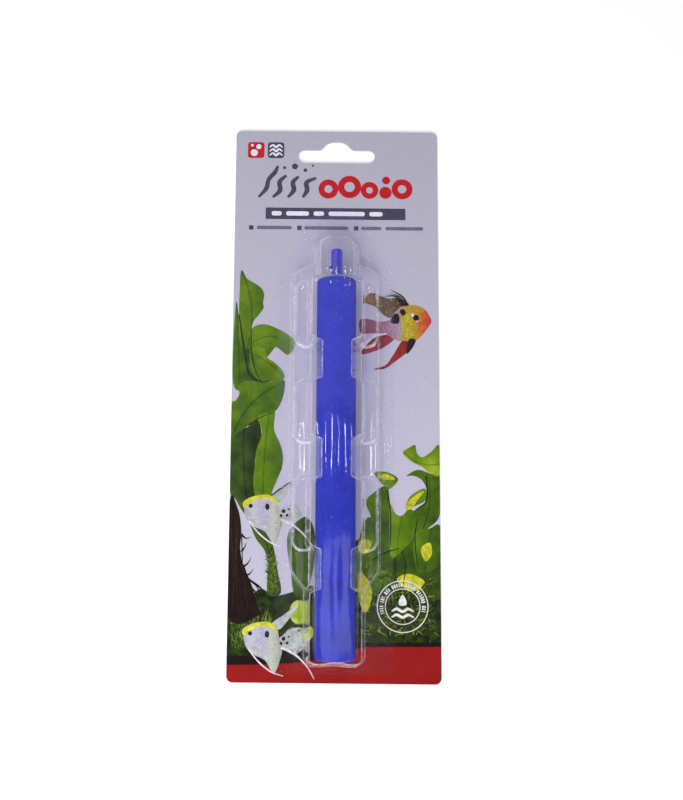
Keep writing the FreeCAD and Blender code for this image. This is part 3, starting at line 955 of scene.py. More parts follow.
def print_big_fish():
    """The bright fish on the right. Returns its dark and pale inks, which the small fish share."""
    flank = fish_material(
        "printed_fish_ink",
        [
            (0.0, "#7A3A34"), (0.3, "#9A6070"), (0.52, "#A68BA6"), (0.62, "#A79A30"), (0.78, "#B98A2A"),
            (0.9, "#C1502A"), (1.0, "#B8382E"),
        ],
        10, 40, "#5A3038", 0.9, 0.55,
    )
    body = [
        (39.5, 32.4), (37.5, 36.4), (34.5, 38.4), (31.5, 38.9), (27.5, 38.4), (24, 35.4), (22.5, 32.9),
        (19, 31.7), (10.5, 32.9), (10.5, 27), (17.5, 27), (21.5, 26), (25, 24), (28.5, 23.7), (32.5, 24),
        (35, 25.5), (38.5, 30),
    ]
    print_layer("printed_fish_body", [curved(body)], FISH_BODY, flank)

    olive = fish_material(
        "printed_fin_ink", [(0.0, "#A8632C"), (0.25, "#6B5A2A"), (0.6, "#5A4A2E"), (1.0, "#3A2320")], 10,
        30, "#C9A86A", 0.8, 0.5,
    )
    dorsal = [
        (11, 40.4), (14.5, 43.9), (19, 42.4), (22.5, 41.6), (26, 41.9), (30.5, 38.9), (27, 36),
        (23.4, 33.4), (20, 34.4), (16.5, 37.9), (12.5, 39.4),
    ]
    print_layer("printed_fish_dorsal", [curved(dorsal)], FIN, olive)

    red = ink_material("printed_fin_red_ink", "#5E1B1E", "#A8322A", 1.6)
    anal = [(10.5, 18), (12.5, 23), (17.5, 26.6), (24.5, 25.4), (19, 20.5)]
    ventral = [
        (28, 24.4), (32.5, 24.2), (30.5, 20), (24.5, 15), (20, 12), (15.5, 11.8), (20.5, 13.5),
        (23.5, 17.5),
    ]
    print_layer("printed_fish_fins", [curved(anal), curved(ventral)], FIN, red)

    dark = ink_material("printed_fish_dark_ink", "#160C12", "#3A2430", 1.2)
    taper = [0.7, 0.4, 0.1]
    spines = [stroke([(29.8, 38.8), (27.6, 42.6), (22.6, 45.4)], taper)]
    for k in range(1, 5):
        path = [(30.2 - 0.7 * k, 38.4), (28.4 - 0.9 * k, 42.4), (24.4 - 1.3 * k, 45.8 - 0.9 * k)]
        spines.append(stroke(path, taper))
    bars = [
        curved([(22.8, 31.4), (23.8, 34.6), (25.6, 35.2), (26.4, 33), (25.6, 31)]),
        curved([(26.4, 36.4), (28, 37.2), (29, 35.4), (27.6, 34.4)]),
        curved([(30.2, 24.4), (33, 24.2), (31.6, 20.8), (29.2, 18.4)]),
    ]
    print_layer("printed_fish_marks", spines + bars, PATCH, dark)

    pale = ink_material("printed_fish_pale_ink", "#C9B9C4", "#F2ECF4", 1.0)
    streaks = [stroke([(10.5, 19.6), (13, 23), (16, 25.6), (21, 26.7)], [0.3, 0.9, 1.1, 0.4])]
    print_layer("printed_fish_streaks", streaks, PATCH, pale)

    cheek = ink_material("printed_fish_cheek_ink", "#8F8420", "#C7B83A", 1.4)
    cheeks = [
        curved([(27.5, 33), (30, 35.8), (31.6, 33), (31.4, 28.6), (32.6, 25.4), (28.6, 25), (27.2, 29)])
    ]
    print_layer("printed_fish_cheek", cheeks, PATCH, cheek)
    return dark, pale


def print_small_fish(dark, pale):
    """Two pearly fish on the left, from one set of outlines."""
    pearl = fish_material(
        "printed_pearl_ink",
        [(0.0, "#8F9A86"), (0.25, "#B7B6C6"), (0.5, "#A9A2BC"), (0.75, "#B4B9A8"), (1.0, "#8E9484")],
        -37, -20, "#D9D8E6", 0.9, 0.45,
    )
    body = [
        (-37, -43.2), (-33.2, -40.9), (-27.3, -40), (-23.8, -42), (-22.3, -46.2), (-20.9, -49.2),
        (-22, -55), (-24.4, -59.8), (-27.9, -55), (-32.6, -52.7), (-35.6, -49.7), (-36.5, -46.2),
    ]
    dorsal = [(-25.6, -40.3), (-21.6, -38), (-15, -33.2), (-18.4, -38.6), (-22.5, -43)]
    tail = [(-22.6, -46.8), (-18, -43.6), (-14.4, -45), (-13.4, -49), (-17, -50.6), (-21, -49.6)]
    brow = [
        (-37, -43.2), (-33.2, -40.9), (-27.3, -40), (-23.8, -41.6), (-22.8, -44.6), (-25, -42.6),
        (-29, -41.9), (-33, -43), (-36, -45.4),
    ]
    belly = [(-35.6, -48.6), (-33, -51), (-28.4, -54), (-26, -57.4), (-27.2, -53), (-30.2, -50.6)]
    eye = ring(-33.9, -44.6, 0.85, 16)
    spots = [
        ring(-27.2, -44.9, 0.9, 14, 1.5), ring(-20.6, -46.6, 0.8, 12), ring(-19.2, -48.2, 0.6, 12),
        ring(-21.6, -48.4, 0.6, 12), ring(-18.6, -45.8, 0.45, 10),
    ]
    ray = stroke([(-25.8, -40.5), (-21.4, -37.2), (-17.6, -34.6)], [0.5, 0.7, 0.2])
    streamers = [
        stroke([(-34.6, -50.6), (-30.4, -55.6), (-25.4, -59.4), (-20.6, -61)], [0.4, 0.6, 0.5, 0.2]),
        stroke([(-21.6, -50), (-16.4, -52.4), (-11.4, -57), (-8.4, -62)], [0.9, 0.8, 0.5, 0.2]),
    ]
    glow = ink_material("printed_brow_ink", "#A9A81E", "#E0DC5A", 2.0)
    film = ink_material("printed_fin_film_ink", "#8E9A84", "#C5C9CE", 2.2)
    groups = [
        ("bodies", [body], FISH_BODY, pearl, True), ("fins", [dorsal, tail], FIN, film, True),
        ("bellies", [belly], PATCH, film, True), ("brows", [brow], PATCH, glow, True),
        ("streamers", streamers, PATCH, pale, False),
        ("marks", [eye, ray] + spots, TOPMOST, dark, False),
    ]
    for name, outlines, level, material, smooth in groups:
        shapes = [
            shifted(curved(o) if smooth else o, dx, dy) for dx, dy in SMALL_FISH_PLACES for o in outlines
        ]
        print_layer("printed_small_fish_" + name, shapes, level, material)


def print_fish():
    """All the fish, and the big one's eye on top."""
    dark, pale = print_big_fish()
    print_small_fish(dark, pale)
    iris = ink_material("printed_eye_ink", "#08060A", "#1C1620", 1.0)
    print_layer("printed_fish_eye", [ring(33.2, 33.5, 1.25, 22)], TOPMOST, iris)
    shine = ink_material("printed_eye_shine_ink", "#C8A8B8", "#EFE6F2", 0.8)
    print_layer(
        "printed_fish_eye_ring", [ring(31.7, 34.6, 0.75, 18), ring(33.6, 32.2, 0.5, 14)], PATCH, shine
    )


def pills(x, y, height, widths, gap):
    """A row of round-ended bars in place of words."""
    made = []
    for width in widths:
        made.append(block(x, y - height / 2, x + width, y + height / 2, height * 0.45))
        x += width + gap
    return made


def print_header():
    """Plain marks in place of words: tiles, plumes of air, bubbles and bars."""
    grey = ink_material("printed_slate_ink", "#3E3D50", "#4C4A5C", 2.0)
    red = ink_material("printed_title_red_ink", colour_of("title"), "#C0201F", 5.0)
    white = ink_material("printed_white_ink", "#D8D6E4", "#ECEAF4", 2.0)
    soft = ink_material("printed_grey_ink", "#5E5C74", "#74718A", 2.0)

    print_layer("printed_tile_red", [block(-37.6, 102, -30.6, 109, 1.2)], GROUND, red)
    print_layer("printed_tile_slate", [block(-29.2, 102, -22.2, 109, 1.2)], GROUND, grey)
    waves = [
        stroke([(-28.4, y), (-27, y + 1), (-25.7, y), (-24.4, y + 1), (-23, y)], [0.5, 0.9, 0.9, 0.5])
        for y in (103.2, 105, 106.8)
    ]
    bubbles = [ring(-34.9, 104.3, 1.5, 24), ring(-33, 107, 1.1, 20), ring(-35.8, 107.6, 0.6, 16)]
    print_layer("printed_tile_pictures", waves + bubbles, MID_LEAF, white)

    # rising plumes of air, then a bold row of bubbles
    plumes = [
        stroke(
            [(-32.8, 84.8), (-29.6, 88.6), (-28.6, 92.6), (-26, 95.8), (-24.8, 98.6)],
            [1.0, 1.9, 1.8, 1.9, 1.0],
        ),
        stroke([(-26.8, 84.8), (-23.8, 87.8), (-24, 91.6), (-21.2, 94.4)], [1.1, 2.1, 2.0, 1.1]),
        stroke([(-20.4, 84.8), (-18, 88), (-18.4, 91.4), (-16, 94)], [1.1, 2.1, 2.0, 1.1]),
        stroke([(-14.2, 84.8), (-12.4, 88), (-12.6, 91.4), (-8.6, 93.4)], [1.1, 2.1, 2.0, 1.1]),
        ring(-17.6, 98.4, 1.3, 22), ring(-22, 97.8, 0.7, 18), ring(-13.2, 96.8, 0.8, 18),
        ring(-10, 98.8, 0.5, 14),
    ]
    print_layer("printed_title_plumes", plumes, GROUND, grey)
    rings = [
        (-3.4, 88.6, 4.2, 1.7), (5.5, 89.6, 4.9, 2.2), (13.9, 88.2, 3.7, 1.4), (20.6, 87.2, 2.6, 0.0),
        (27.6, 88.8, 4.4, 1.8), (20.9, 92.6, 1.7, 0.0),
    ]
    outlines = [ring(x, y, r, 44) for x, y, r, _ in rings]
    inner = {i: [ring(x, y, r, 32)] for i, (x, y, _, r) in enumerate(rings) if r}
    print_layer("printed_title_bubbles", outlines, GROUND, red, holes=inner)

    print_layer("printed_title_bar", [block(-29.7, 75.3, 29, 80.3)], GROUND, grey)
    words = pills(-27.2, 77.8, 1.9, (4.2, 9.6, 4.4, 15.2, 5.6), 1.9)
    print_layer("printed_title_words", words, MID_LEAF, white)
    squares = [block(x, 70.6, x + 1.9, 72.5) for x in (-36.6, -16.4, 7.4)]
    print_layer("printed_list_squares", squares, GROUND, grey)
    entries = pills(-33.3, 71.6, 1.5, (14.6,), 1) + pills(-13.4, 71.6, 1.5, (18.4,), 1)
    entries += pills(10.3, 71.6, 1.5, (8.6, 15.8), 1.7)
    print_layer("printed_list_words", entries, GROUND, soft)


SEAL = (27.2, -83.9)
SEAL_RINGS = ((10.3, 9.9, 72), (7.1, 6.75, 60))  # outer radius, inner radius and sides of each


def print_seal():
    """A round badge with a drop over two waves. Returns its ink, which its ticks share."""
    white = ink_material("printed_seal_white_ink", "#C9C9C4", "#E8E7E4", 2.0)
    x, y = SEAL
    outlines = [ring(x, y, outer, sides) for outer, _, sides in SEAL_RINGS]
    inner = {i: [ring(x, y, r, sides)] for i, (_, r, sides) in enumerate(SEAL_RINGS)}
    print_layer("printed_seal_rings", outlines, PATCH, white, holes=inner)
    drop = curved(
        [(x, y + 4.6), (x + 1.5, y + 2.2), (x + 1.2, y + 0.5), (x - 1.2, y + 0.5), (x - 1.5, y + 2.2)]
    )
    middle = [drop] + [
        stroke(
            [(x - 4.4, h), (x - 2.4, h + 1), (x, h), (x + 2.2, h + 1), (x + 4.4, h)],
            [0.5, 1.1, 1.1, 1.1, 0.5],
        )
        for h in (y - 1.9, y - 4.2)
    ]
    print_layer("printed_seal_picture", middle, PATCH, white)
    return white


# --- geometry nodes ----------------------------------------------------------------------------
def new_tree(name, inputs):
    """A geometry tree with named inputs, given as (name, socket type, default). Returns the tree and its
    Group Input's outputs by name."""
    tree = bpy.data.node_groups.new(name, "GeometryNodeTree")
    tree.interface.new_socket("Geometry", in_out="INPUT", socket_type="NodeSocketGeometry")
    tree.interface.new_socket("Geometry", in_out="OUTPUT", socket_type="NodeSocketGeometry")
    for title, kind, default in inputs:
        socket = tree.interface.new_socket(title, in_out="INPUT", socket_type=kind)
        if default is not None:
            socket.default_value = default
    return tree, add(tree, "NodeGroupInput").outputs


def end_tree(tree, geometry, material):
    """Ends a tree in Realize Instances and Set Material."""
    real = add(tree, "GeometryNodeRealizeInstances", {"Geometry": geometry})
    painted = add(tree, "GeometryNodeSetMaterial", {"Geometry": real, "Material": material})
    add(tree, "NodeGroupOutput", {"Geometry": painted})


def run_tree(piece, tree, values):
    """Runs a tree on a piece with its inputs set by name, and turns the result into the piece's mesh."""
    modifier = piece.modifiers.new(tree.name, "NODES")
    modifier.node_group = tree
    for item in tree.interface.items_tree:
        if item.in_out == "INPUT" and item.name in values:
            modifier[item.identifier] = values[item.name]
    return applied(piece)


def moss_tree():
    """Blades scattered over a flat bed, each a thin four-sided spike with its own length and shade."""
    tree, given = new_tree(
        "moss_blades",
        [
            ("Blades per area", "NodeSocketFloat", 1000.0), ("Length", "NodeSocketFloat", 0.004),
            ("Width", "NodeSocketFloat", 0.0007), ("Thickness", "NodeSocketFloat", 0.00001),
            ("Lean", "NodeSocketFloat", 0.6), ("Seed", "NodeSocketInt", 1),
            ("Material", "NodeSocketMaterial", None),
        ],
    )
    spots = add(
        tree, "GeometryNodeDistributePointsOnFaces",
        {"Mesh": given["Geometry"], "Density": given["Blades per area"], "Seed": given["Seed"]},
    )
    spike = add(
        tree, "GeometryNodeMeshCone",
        {"Vertices": 4, "Radius Top": 0.0, "Radius Bottom": 0.5, "Depth": 1.0},
    )
    quarter = math.pi / 2
    laid = add(tree, "GeometryNodeTransform", {"Geometry": spike, "Rotation": (-quarter, 0.0, 0.0)})
    size = add(
        tree, "ShaderNodeCombineXYZ",
        {"X": given["Width"], "Y": given["Length"], "Z": given["Thickness"]},
    )
    spread = add(tree, "FunctionNodeRandomValue", {2: 0.5, 3: 1.3, "Seed": given["Seed"]})
    scaled = add(tree, "ShaderNodeVectorMath", {0: size, "Scale": spread.outputs[1]}, operation="SCALE")
    least = add(tree, "ShaderNodeMath", {0: given["Lean"], 1: -1.0}, operation="MULTIPLY")
    lean = add(tree, "FunctionNodeRandomValue", {2: least, 3: given["Lean"], "Seed": 7})
    turned = add(tree, "ShaderNodeCombineXYZ", {"Z": lean.outputs[1]})
    blades = add(
        tree, "GeometryNodeInstanceOnPoints",
        {"Points": spots.outputs["Points"], "Instance": laid, "Rotation": turned, "Scale": scaled},
    )
    shade = add(tree, "FunctionNodeRandomValue", {2: 0.0, 3: 1.0, "Seed": 11})
    marked = add(
        tree, "GeometryNodeStoreNamedAttribute",
        {"Geometry": blades, "Name": "shade", "Value": shade.outputs[1]}, domain="INSTANCE",
        data_type="FLOAT",
    )
    end_tree(tree, marked, given["Material"])
    return tree


def tick_tree():
    """Short bars round part of a ring, in place of words on a badge."""
    tree, given = new_tree(
        "seal_ticks",
        [
            ("Ticks", "NodeSocketInt", 60), ("Radius", "NodeSocketFloat", 0.0085),
            ("Bar", "NodeSocketVector", (0.0006, 0.0015, 0.00001)),
            ("Centre", "NodeSocketVector", (0.0, 0.0, 0.0)), ("Lowest", "NodeSocketFloat", -0.2),
            ("Material", "NodeSocketMaterial", None),
        ],
    )
    circle = add(tree, "GeometryNodeMeshCircle", {"Vertices": given["Ticks"], "Radius": given["Radius"]})
    bar = add(tree, "GeometryNodeMeshCube", {"Size": given["Bar"]})
    index = add(tree, "GeometryNodeInputIndex")
    share = add(tree, "ShaderNodeMath", {0: index, 1: given["Ticks"]}, operation="DIVIDE")
    angle = add(tree, "ShaderNodeMath", {0: share, 1: 2 * math.pi}, operation="MULTIPLY")
    height = add(tree, "ShaderNodeMath", {0: angle}, operation="SINE")
    chosen = add(tree, "ShaderNodeMath", {0: height, 1: given["Lowest"]}, operation="GREATER_THAN")
    kept = add(tree, "FunctionNodeRandomValue", {"Probability": 0.8, "Seed": 5}, data_type="BOOLEAN")
    both = add(tree, "FunctionNodeBooleanMath", {0: chosen, 1: kept.outputs[3]})
    # a bar's long side points outwards
    facing = add(tree, "ShaderNodeMath", {0: angle, 1: -math.pi / 2}, operation="ADD")
    turned = add(tree, "ShaderNodeCombineXYZ", {"Z": facing})
    stretch = add(tree, "FunctionNodeRandomValue", {2: 0.6, 3: 1.25, "Seed": 3})
    scale = add(tree, "ShaderNodeCombineXYZ", {"X": stretch.outputs[1], "Y": 1.0, "Z": 1.0})
    bars = add(
        tree, "GeometryNodeInstanceOnPoints",
        {"Points": circle, "Selection": both, "Instance": bar, "Rotation": turned, "Scale": scale},
    )
    moved = add(tree, "GeometryNodeTransform", {"Geometry": bars, "Translation": given["Centre"]})
    end_tree(tree, moved, given["Material"])
    return tree


def grain_tree():
    """Sinks the hollows between a stone's grains below its surface."""
    tree, given = new_tree(
        "stone_grain",
        [
            ("Grain size", "NodeSocketFloat", 0.0006), ("Grain depth", "NodeSocketFloat", 0.0001),
            ("Seed", "NodeSocketFloat", 4.0), ("Material", "NodeSocketMaterial", None),
        ],
    )
    scale = add(tree, "ShaderNodeMath", {0: 1.0, 1: given["Grain size"]}, operation="DIVIDE")
    grains = add(
        tree, "ShaderNodeTexVoronoi", {"W": given["Seed"], "Scale": scale}, voronoi_dimensions="4D",
        feature="SMOOTH_F1",
    )
    waves = add(
        tree, "ShaderNodeTexNoise", {"W": given["Seed"], "Scale": scale, "Detail": 2.0},
        noise_dimensions="4D",
    )
    both = add(
        tree, "ShaderNodeMath", {0: grains.outputs["Distance"], 1: 0.8, 2: waves.outputs["Fac"]},
        operation="MULTIPLY_ADD",
    )
    sunk = add(tree, "ShaderNodeMath", {0: both, 1: -0.8}, operation="MULTIPLY")
    deep = add(tree, "ShaderNodeMath", {0: sunk, 1: given["Grain depth"]}, operation="MULTIPLY")
    normal = add(tree, "GeometryNodeInputNormal")
    move = add(tree, "ShaderNodeVectorMath", {0: normal, "Scale": deep}, operation="SCALE")
    placed = add(tree, "GeometryNodeSetPosition", {"Geometry": given["Geometry"], "Offset": move})
    end_tree(tree, placed, given["Material"])
    return tree


def grow_moss():
    """Scatters moss blades over each bed."""
    material = moss_material()
    tree = moss_tree()
    beds = [
        (
            "low", [(-40.8, -101.5), (-27, -101), (-23, -98), (-25, -90), (-31, -86), (-40.8, -84)], 3.6,
            0.5,
        ),
        ("stalk", [(-25.5, -79), (-22.6, -79), (-24, -66), (-27, -60)], 2.0, 1.2),
        ("right", [(10.5, -95.5), (40, -95), (40, -72), (34, -75), (20, -69), (11, -68)], 2.4, 2.6),
    ]
    for number, (name, bed, length, lean) in enumerate(beds):
        z = CARD_FACE + length_mm("ink") * (MID_LEAF + 1.5)
        area = abs(sum(a[0] * b[1] - b[0] * a[1] for a, b in zip(bed, bed[1:] + bed[:1]))) / 2
        piece = mesh_piece(
            "printed_moss_" + name, [(x, y, z) for x, y in bed], [tuple(range(len(bed)))], material
        )
        values = {
            "Blades per area": bpy.context.scene.air_stone_sizes.blades / (area * MM * MM),
            "Length": length * MM, "Width": 0.42 * MM, "Thickness": length_mm("ink") * MM * 2,
            "Lean": lean, "Seed": 21 + number, "Material": material,
        }
        place_piece(run_tree(piece, tree, values), "card", "printed_board")


def tick_seal(white):
    """Sets the badge's ticks between its two rings."""
    z = CARD_FACE + length_mm("ink") * PATCH
    piece = mesh_piece("printed_seal_ticks", [(0, 0, 0)], [], white)
    values = {
        "Ticks": 58, "Radius": 8.45 * MM, "Bar": Vector((0.55, 1.5, length_mm("ink"))) * MM,
        "Centre": Vector((*SEAL, z)) * MM, "Lowest": -0.35, "Material": white,
    }
    place_piece(run_tree(piece, tick_tree(), values), "card", "printed_board")


# --- stone, nozzle and resin -------------------------------------------------------------------
AIR_BORE_RADIUS = 2.0
AIR_BORE_END_WALL = 10.0
SOCKET_RADIUS = 3.1
SOCKET_DEPTH = 11.0
NOZZLE_RADIUS = 2.3
NOZZLE_BORE_RADIUS = 1.2
STEM_RADIUS = 2.6
STEM_RIB_HEIGHT = 0.35
STEM_RIB_PITCH = 2.2
COLLAR_TOP = GLUE_HIGH[1]
AXIS_GAP = 0.3  # a capped profile stops this near the axis
STONE_STEP = 0.4  # spacing of the stone's outer points
STONE_TURNS = 112


def even(start, end, spacing):
    """Points between two (radius, y) points, start included and end left out, about spacing apart."""
    count = max(1, round(math.dist(start, end) / spacing))
    return [
        (start[0] + (end[0] - start[0]) * i / count, start[1] + (end[1] - start[1]) * i / count)
        for i in range(count)
    ]


def make_stone():
    """The porous cylinder with its socket and blind air bore, its grain sunk by Geometry Nodes."""
    edge, r, step = length_mm("edge"), STONE_RADIUS, STONE_STEP
    floor, bore_end = STONE_TOP - SOCKET_DEPTH, STONE_END + AIR_BORE_END_WALL
    profile = even((AXIS_GAP, STONE_END), (r - edge, STONE_END), step)
    profile += fillet_points(r - edge, STONE_END + edge, edge, -90, 0)[:-1]
    profile += even((r, STONE_END + edge), (r, STONE_TOP - edge), step)
    profile += fillet_points(r - edge, STONE_TOP - edge, edge, 0, 90)
    profile += even((r - edge - step, STONE_TOP), (SOCKET_RADIUS, STONE_TOP), step)
    profile += even((SOCKET_RADIUS, STONE_TOP), (SOCKET_RADIUS, floor), 4)
    profile += even((SOCKET_RADIUS, floor), (AIR_BORE_RADIUS, floor), 4)
    profile += even((AIR_BORE_RADIUS, floor), (AIR_BORE_RADIUS, bore_end), 6)
    profile += [(AIR_BORE_RADIUS, bore_end), (AXIS_GAP, bore_end)]
    material = stone_material()
    piece = lathe("air_stone", profile, material, STONE_TURNS, capped=True)
    values = {
        "Grain size": length_mm("grain") * MM, "Grain depth": length_mm("grain_depth") * MM, "Seed": 4.0,
        "Material": material,
    }
    place_piece(run_tree(piece, grain_tree(), values), "stone", "blue_stone", "stone_body")


LIP = 0.5  # radius of the nozzle's rounded tip
TUBE_TURNS = 72
# a rib's side: share of its height, and y from its middle
RIB_SIDE = [(0.0, -0.55), (0.7, -0.4), (1.0, -0.2), (1.0, 0.2), (0.7, 0.4), (0.0, 0.55)]
SEAM_HEIGHT = 0.03
SEAM_HALF_ANGLE = 5.0
NUB_UP = 5.4  # the gate's nub, above the stone's end
NUB_RADII = (0.42, 0.62, 0.45)


def make_nozzle():
    """The glossy tube and its ribbed stem, with the gate's nub on its side."""
    tip, root = NOZZLE_HIGH[1], NOZZLE_LOW[1]
    r, bore, stem = NOZZLE_RADIUS, NOZZLE_BORE_RADIUS, STEM_RADIUS
    profile = [(bore, root), (stem, root)]
    ribs = int((STONE_TOP - root) / STEM_RIB_PITCH) - 1
    for k in range(ribs, -1, -1):
        y = STONE_TOP - STEM_RIB_PITCH * (k + 1)
        if y - 0.5 > root:
            profile += [(stem + STEM_RIB_HEIGHT * out, y + dy) for out, dy in RIB_SIDE]
    profile += [(stem, STONE_TOP), (stem, COLLAR_TOP - 0.12), (stem - 0.08, COLLAR_TOP - 0.02)]
    profile += [(r + 0.1, COLLAR_TOP), (r, COLLAR_TOP + 0.12)]
    profile += even((r, COLLAR_TOP + 0.6), (r, tip - LIP), 1.0)
    profile += fillet_points(r - LIP, tip - LIP, LIP, 0, 90)
    profile += [(bore + 0.15, tip), (bore + 0.04, tip - 0.04), (bore, tip - 0.15)]
    profile += even((bore, tip - 0.6), (bore, root + 0.3), 2.0)

    def worn(radius, y, angle):
        """The mould's parting line stands proud by a hair on each side."""
        seam = max(0.0, 1 - abs(abs(math.degrees(angle) - 180) - 90) / SEAM_HALF_ANGLE)
        return radius + SEAM_HEIGHT * seam * (radius > bore + 0.3) * (y > COLLAR_TOP + 0.3)

    piece = lathe("air_nozzle_tube", profile, nozzle_material(), TUBE_TURNS, worn)
    place_piece(piece, "stone", "blue_plastic", "air_nozzle")

    # the gate's nub, left on the tube's side where it was cut from its runner
    y, reach = STONE_TOP + NUB_UP, r + 0.3
    across, along, high = NUB_RADII
    points, faces = [], []
    rows, turns = 6, 16
    for i in range(rows + 1):
        a = math.pi * i / rows
        for k in range(turns):
            b = 2 * math.pi * k / turns
            out, side, up = math.cos(a), math.sin(a) * math.cos(b), math.sin(a) * math.sin(b)
            points.append((-reach - across * out, y + along * side, AXIS_Z + high * up))
    for i in range(rows):
        for k in range(turns):
            n = (k + 1) % turns
            faces.append((i * turns + k, i * turns + n, (i + 1) * turns + n, (i + 1) * turns + k))
    nub = mesh_piece("air_nozzle_gate_nub", points, faces, piece.data.materials[0], smooth=True)
    closed_outwards(nub)
    place_piece(nub, "stone", "blue_plastic")


def closed_outwards(piece):
    """Merges doubled points and turns every face outwards."""
    work = bmesh.new()
    work.from_mesh(piece.data)
    bmesh.ops.remove_doubles(work, verts=work.verts, dist=1e-6)
    bmesh.ops.dissolve_degenerate(work, edges=work.edges, dist=1e-7)
    bmesh.ops.recalc_face_normals(work, faces=work.faces)
    work.to_mesh(piece.data)
    work.free()


def make_resin():
    """The resin round the stem, with an uneven bead where it was pressed out over the stone's end."""
    low, top = GLUE_LOW[1], GLUE_HIGH[1]
    inner, outer = STEM_RADIUS + 0.02, STEM_RADIUS + 1.0
    chance = random.Random(8)
    swells = [
        (chance.uniform(0.04, 0.12), chance.randint(2, 7), chance.uniform(0, 6.3)) for _ in range(5)
    ]

    def swollen(radius, y, angle):
        if y < STONE_TOP - 0.01 or radius < inner + 0.05:
            return radius
        swell = sum(size * math.sin(turns * angle + start) for size, turns, start in swells)
        return inner + (radius - inner) * (0.86 + 0.6 * swell)

    profile = [
        (inner, low), (SOCKET_RADIUS, low), (SOCKET_RADIUS, STONE_TOP - 0.02), (outer, STONE_TOP - 0.01),
        (outer + 0.02, STONE_TOP + 0.1),
    ]
    # the bead climbs the collar in a hollow curve
    for k in range(1, 8):
        t = k / 7
        climb = (top - STONE_TOP - 0.12) * t**1.1
        profile.append((inner + (outer - inner) * (1 - t) ** 1.7, STONE_TOP + 0.1 + climb))
    piece = lathe("resin_bead", profile, resin_material(), TUBE_TURNS, swollen)
    place_piece(piece, "stone", "resin", "glue_ring")


# --- blister -----------------------------------------------------------------------------------
def lean_out(degrees):
    """How far a drafted wall leans out for each millimetre that it rises."""
    return math.tan(math.radians(degrees))


FLANGE_BELOW = 5.2
FLANGE_ABOVE = 29.6
CAVITY_TOP = SHEET_HIGH[1] - FLANGE_ABOVE
CAVITY_END = SHEET_LOW[1] + FLANGE_BELOW
CAVITY_Z = SHEET_HIGH[2]
FLANGE_Z = SHEET_LOW[2] + 0.3
PAD_RISE = 1.6
STEP_Z = SHEET_LOW[2] + 3.9
PAD_Z = STEP_Z + PAD_RISE
NOZZLE_POCKET_Z = AXIS_Z + NOZZLE_RADIUS + 1.2
POCKET_LENGTHS = (24.8, 20.9, 24.4)
WAIST_LENGTH = 18.5
WAIST_CHAMFER = 2.2
POCKET_DRAFT, WAIST_DRAFT, NOZZLE_DRAFT, STEP_DRAFT = 7.0, 20.0, 8.0, 12.0
POCKET_HALF = STONE_RADIUS + 1.2 + (CAVITY_Z - AXIS_Z) * lean_out(POCKET_DRAFT)
WAIST_HALF = (STONE_RADIUS + 0.4) * lean_out(45 - WAIST_DRAFT / 2)
NOZZLE_HALF = NOZZLE_RADIUS + 4.7
NOZZLE_FOOT = NOZZLE_HALF + (NOZZLE_POCKET_Z - STEP_Z) * lean_out(NOZZLE_DRAFT)
NOZZLE_END = NOZZLE_HIGH[1] + 4.8
NOZZLE_CORNER = 4.6
POCKET_FOOT = POCKET_HALF + (CAVITY_Z - STEP_Z) * lean_out(POCKET_DRAFT)
WAIST_FOOT = WAIST_HALF + (CAVITY_Z - STEP_Z) * lean_out(WAIST_DRAFT)
STEP_HALF = POCKET_FOOT + 5.7
STEP_NECK = NOZZLE_FOOT + 1.2
STEP_CORNER = STEP_NECK * 0.8
STEP_TOP = NOZZLE_END + (NOZZLE_POCKET_Z - STEP_Z) * lean_out(NOZZLE_DRAFT) + 1.2
STEP_SQUARE = CAVITY_END + 35.0
STEP_SHOULDER = CAVITY_TOP + 4.6
PAD_HALF = STEP_HALF - 0.6 - PAD_RISE * lean_out(STEP_DRAFT)
FLANGE_HALF = SHEET_HIGH[0]
FLANGE_NECK = NOZZLE_FOOT + 8.4
AFTER_FOLD = [0.14, 0.3, 0.48, 0.7]  # distances of the mesh's columns from a fold


def pocket_spans():
    """(top, end) of each wide pocket, from the nozzle end down."""
    spans, top = [], CAVITY_TOP
    for length in POCKET_LENGTHS:
        spans.append((top, top - length))
        top -= length + WAIST_LENGTH
    return spans + [(top, CAVITY_END)]


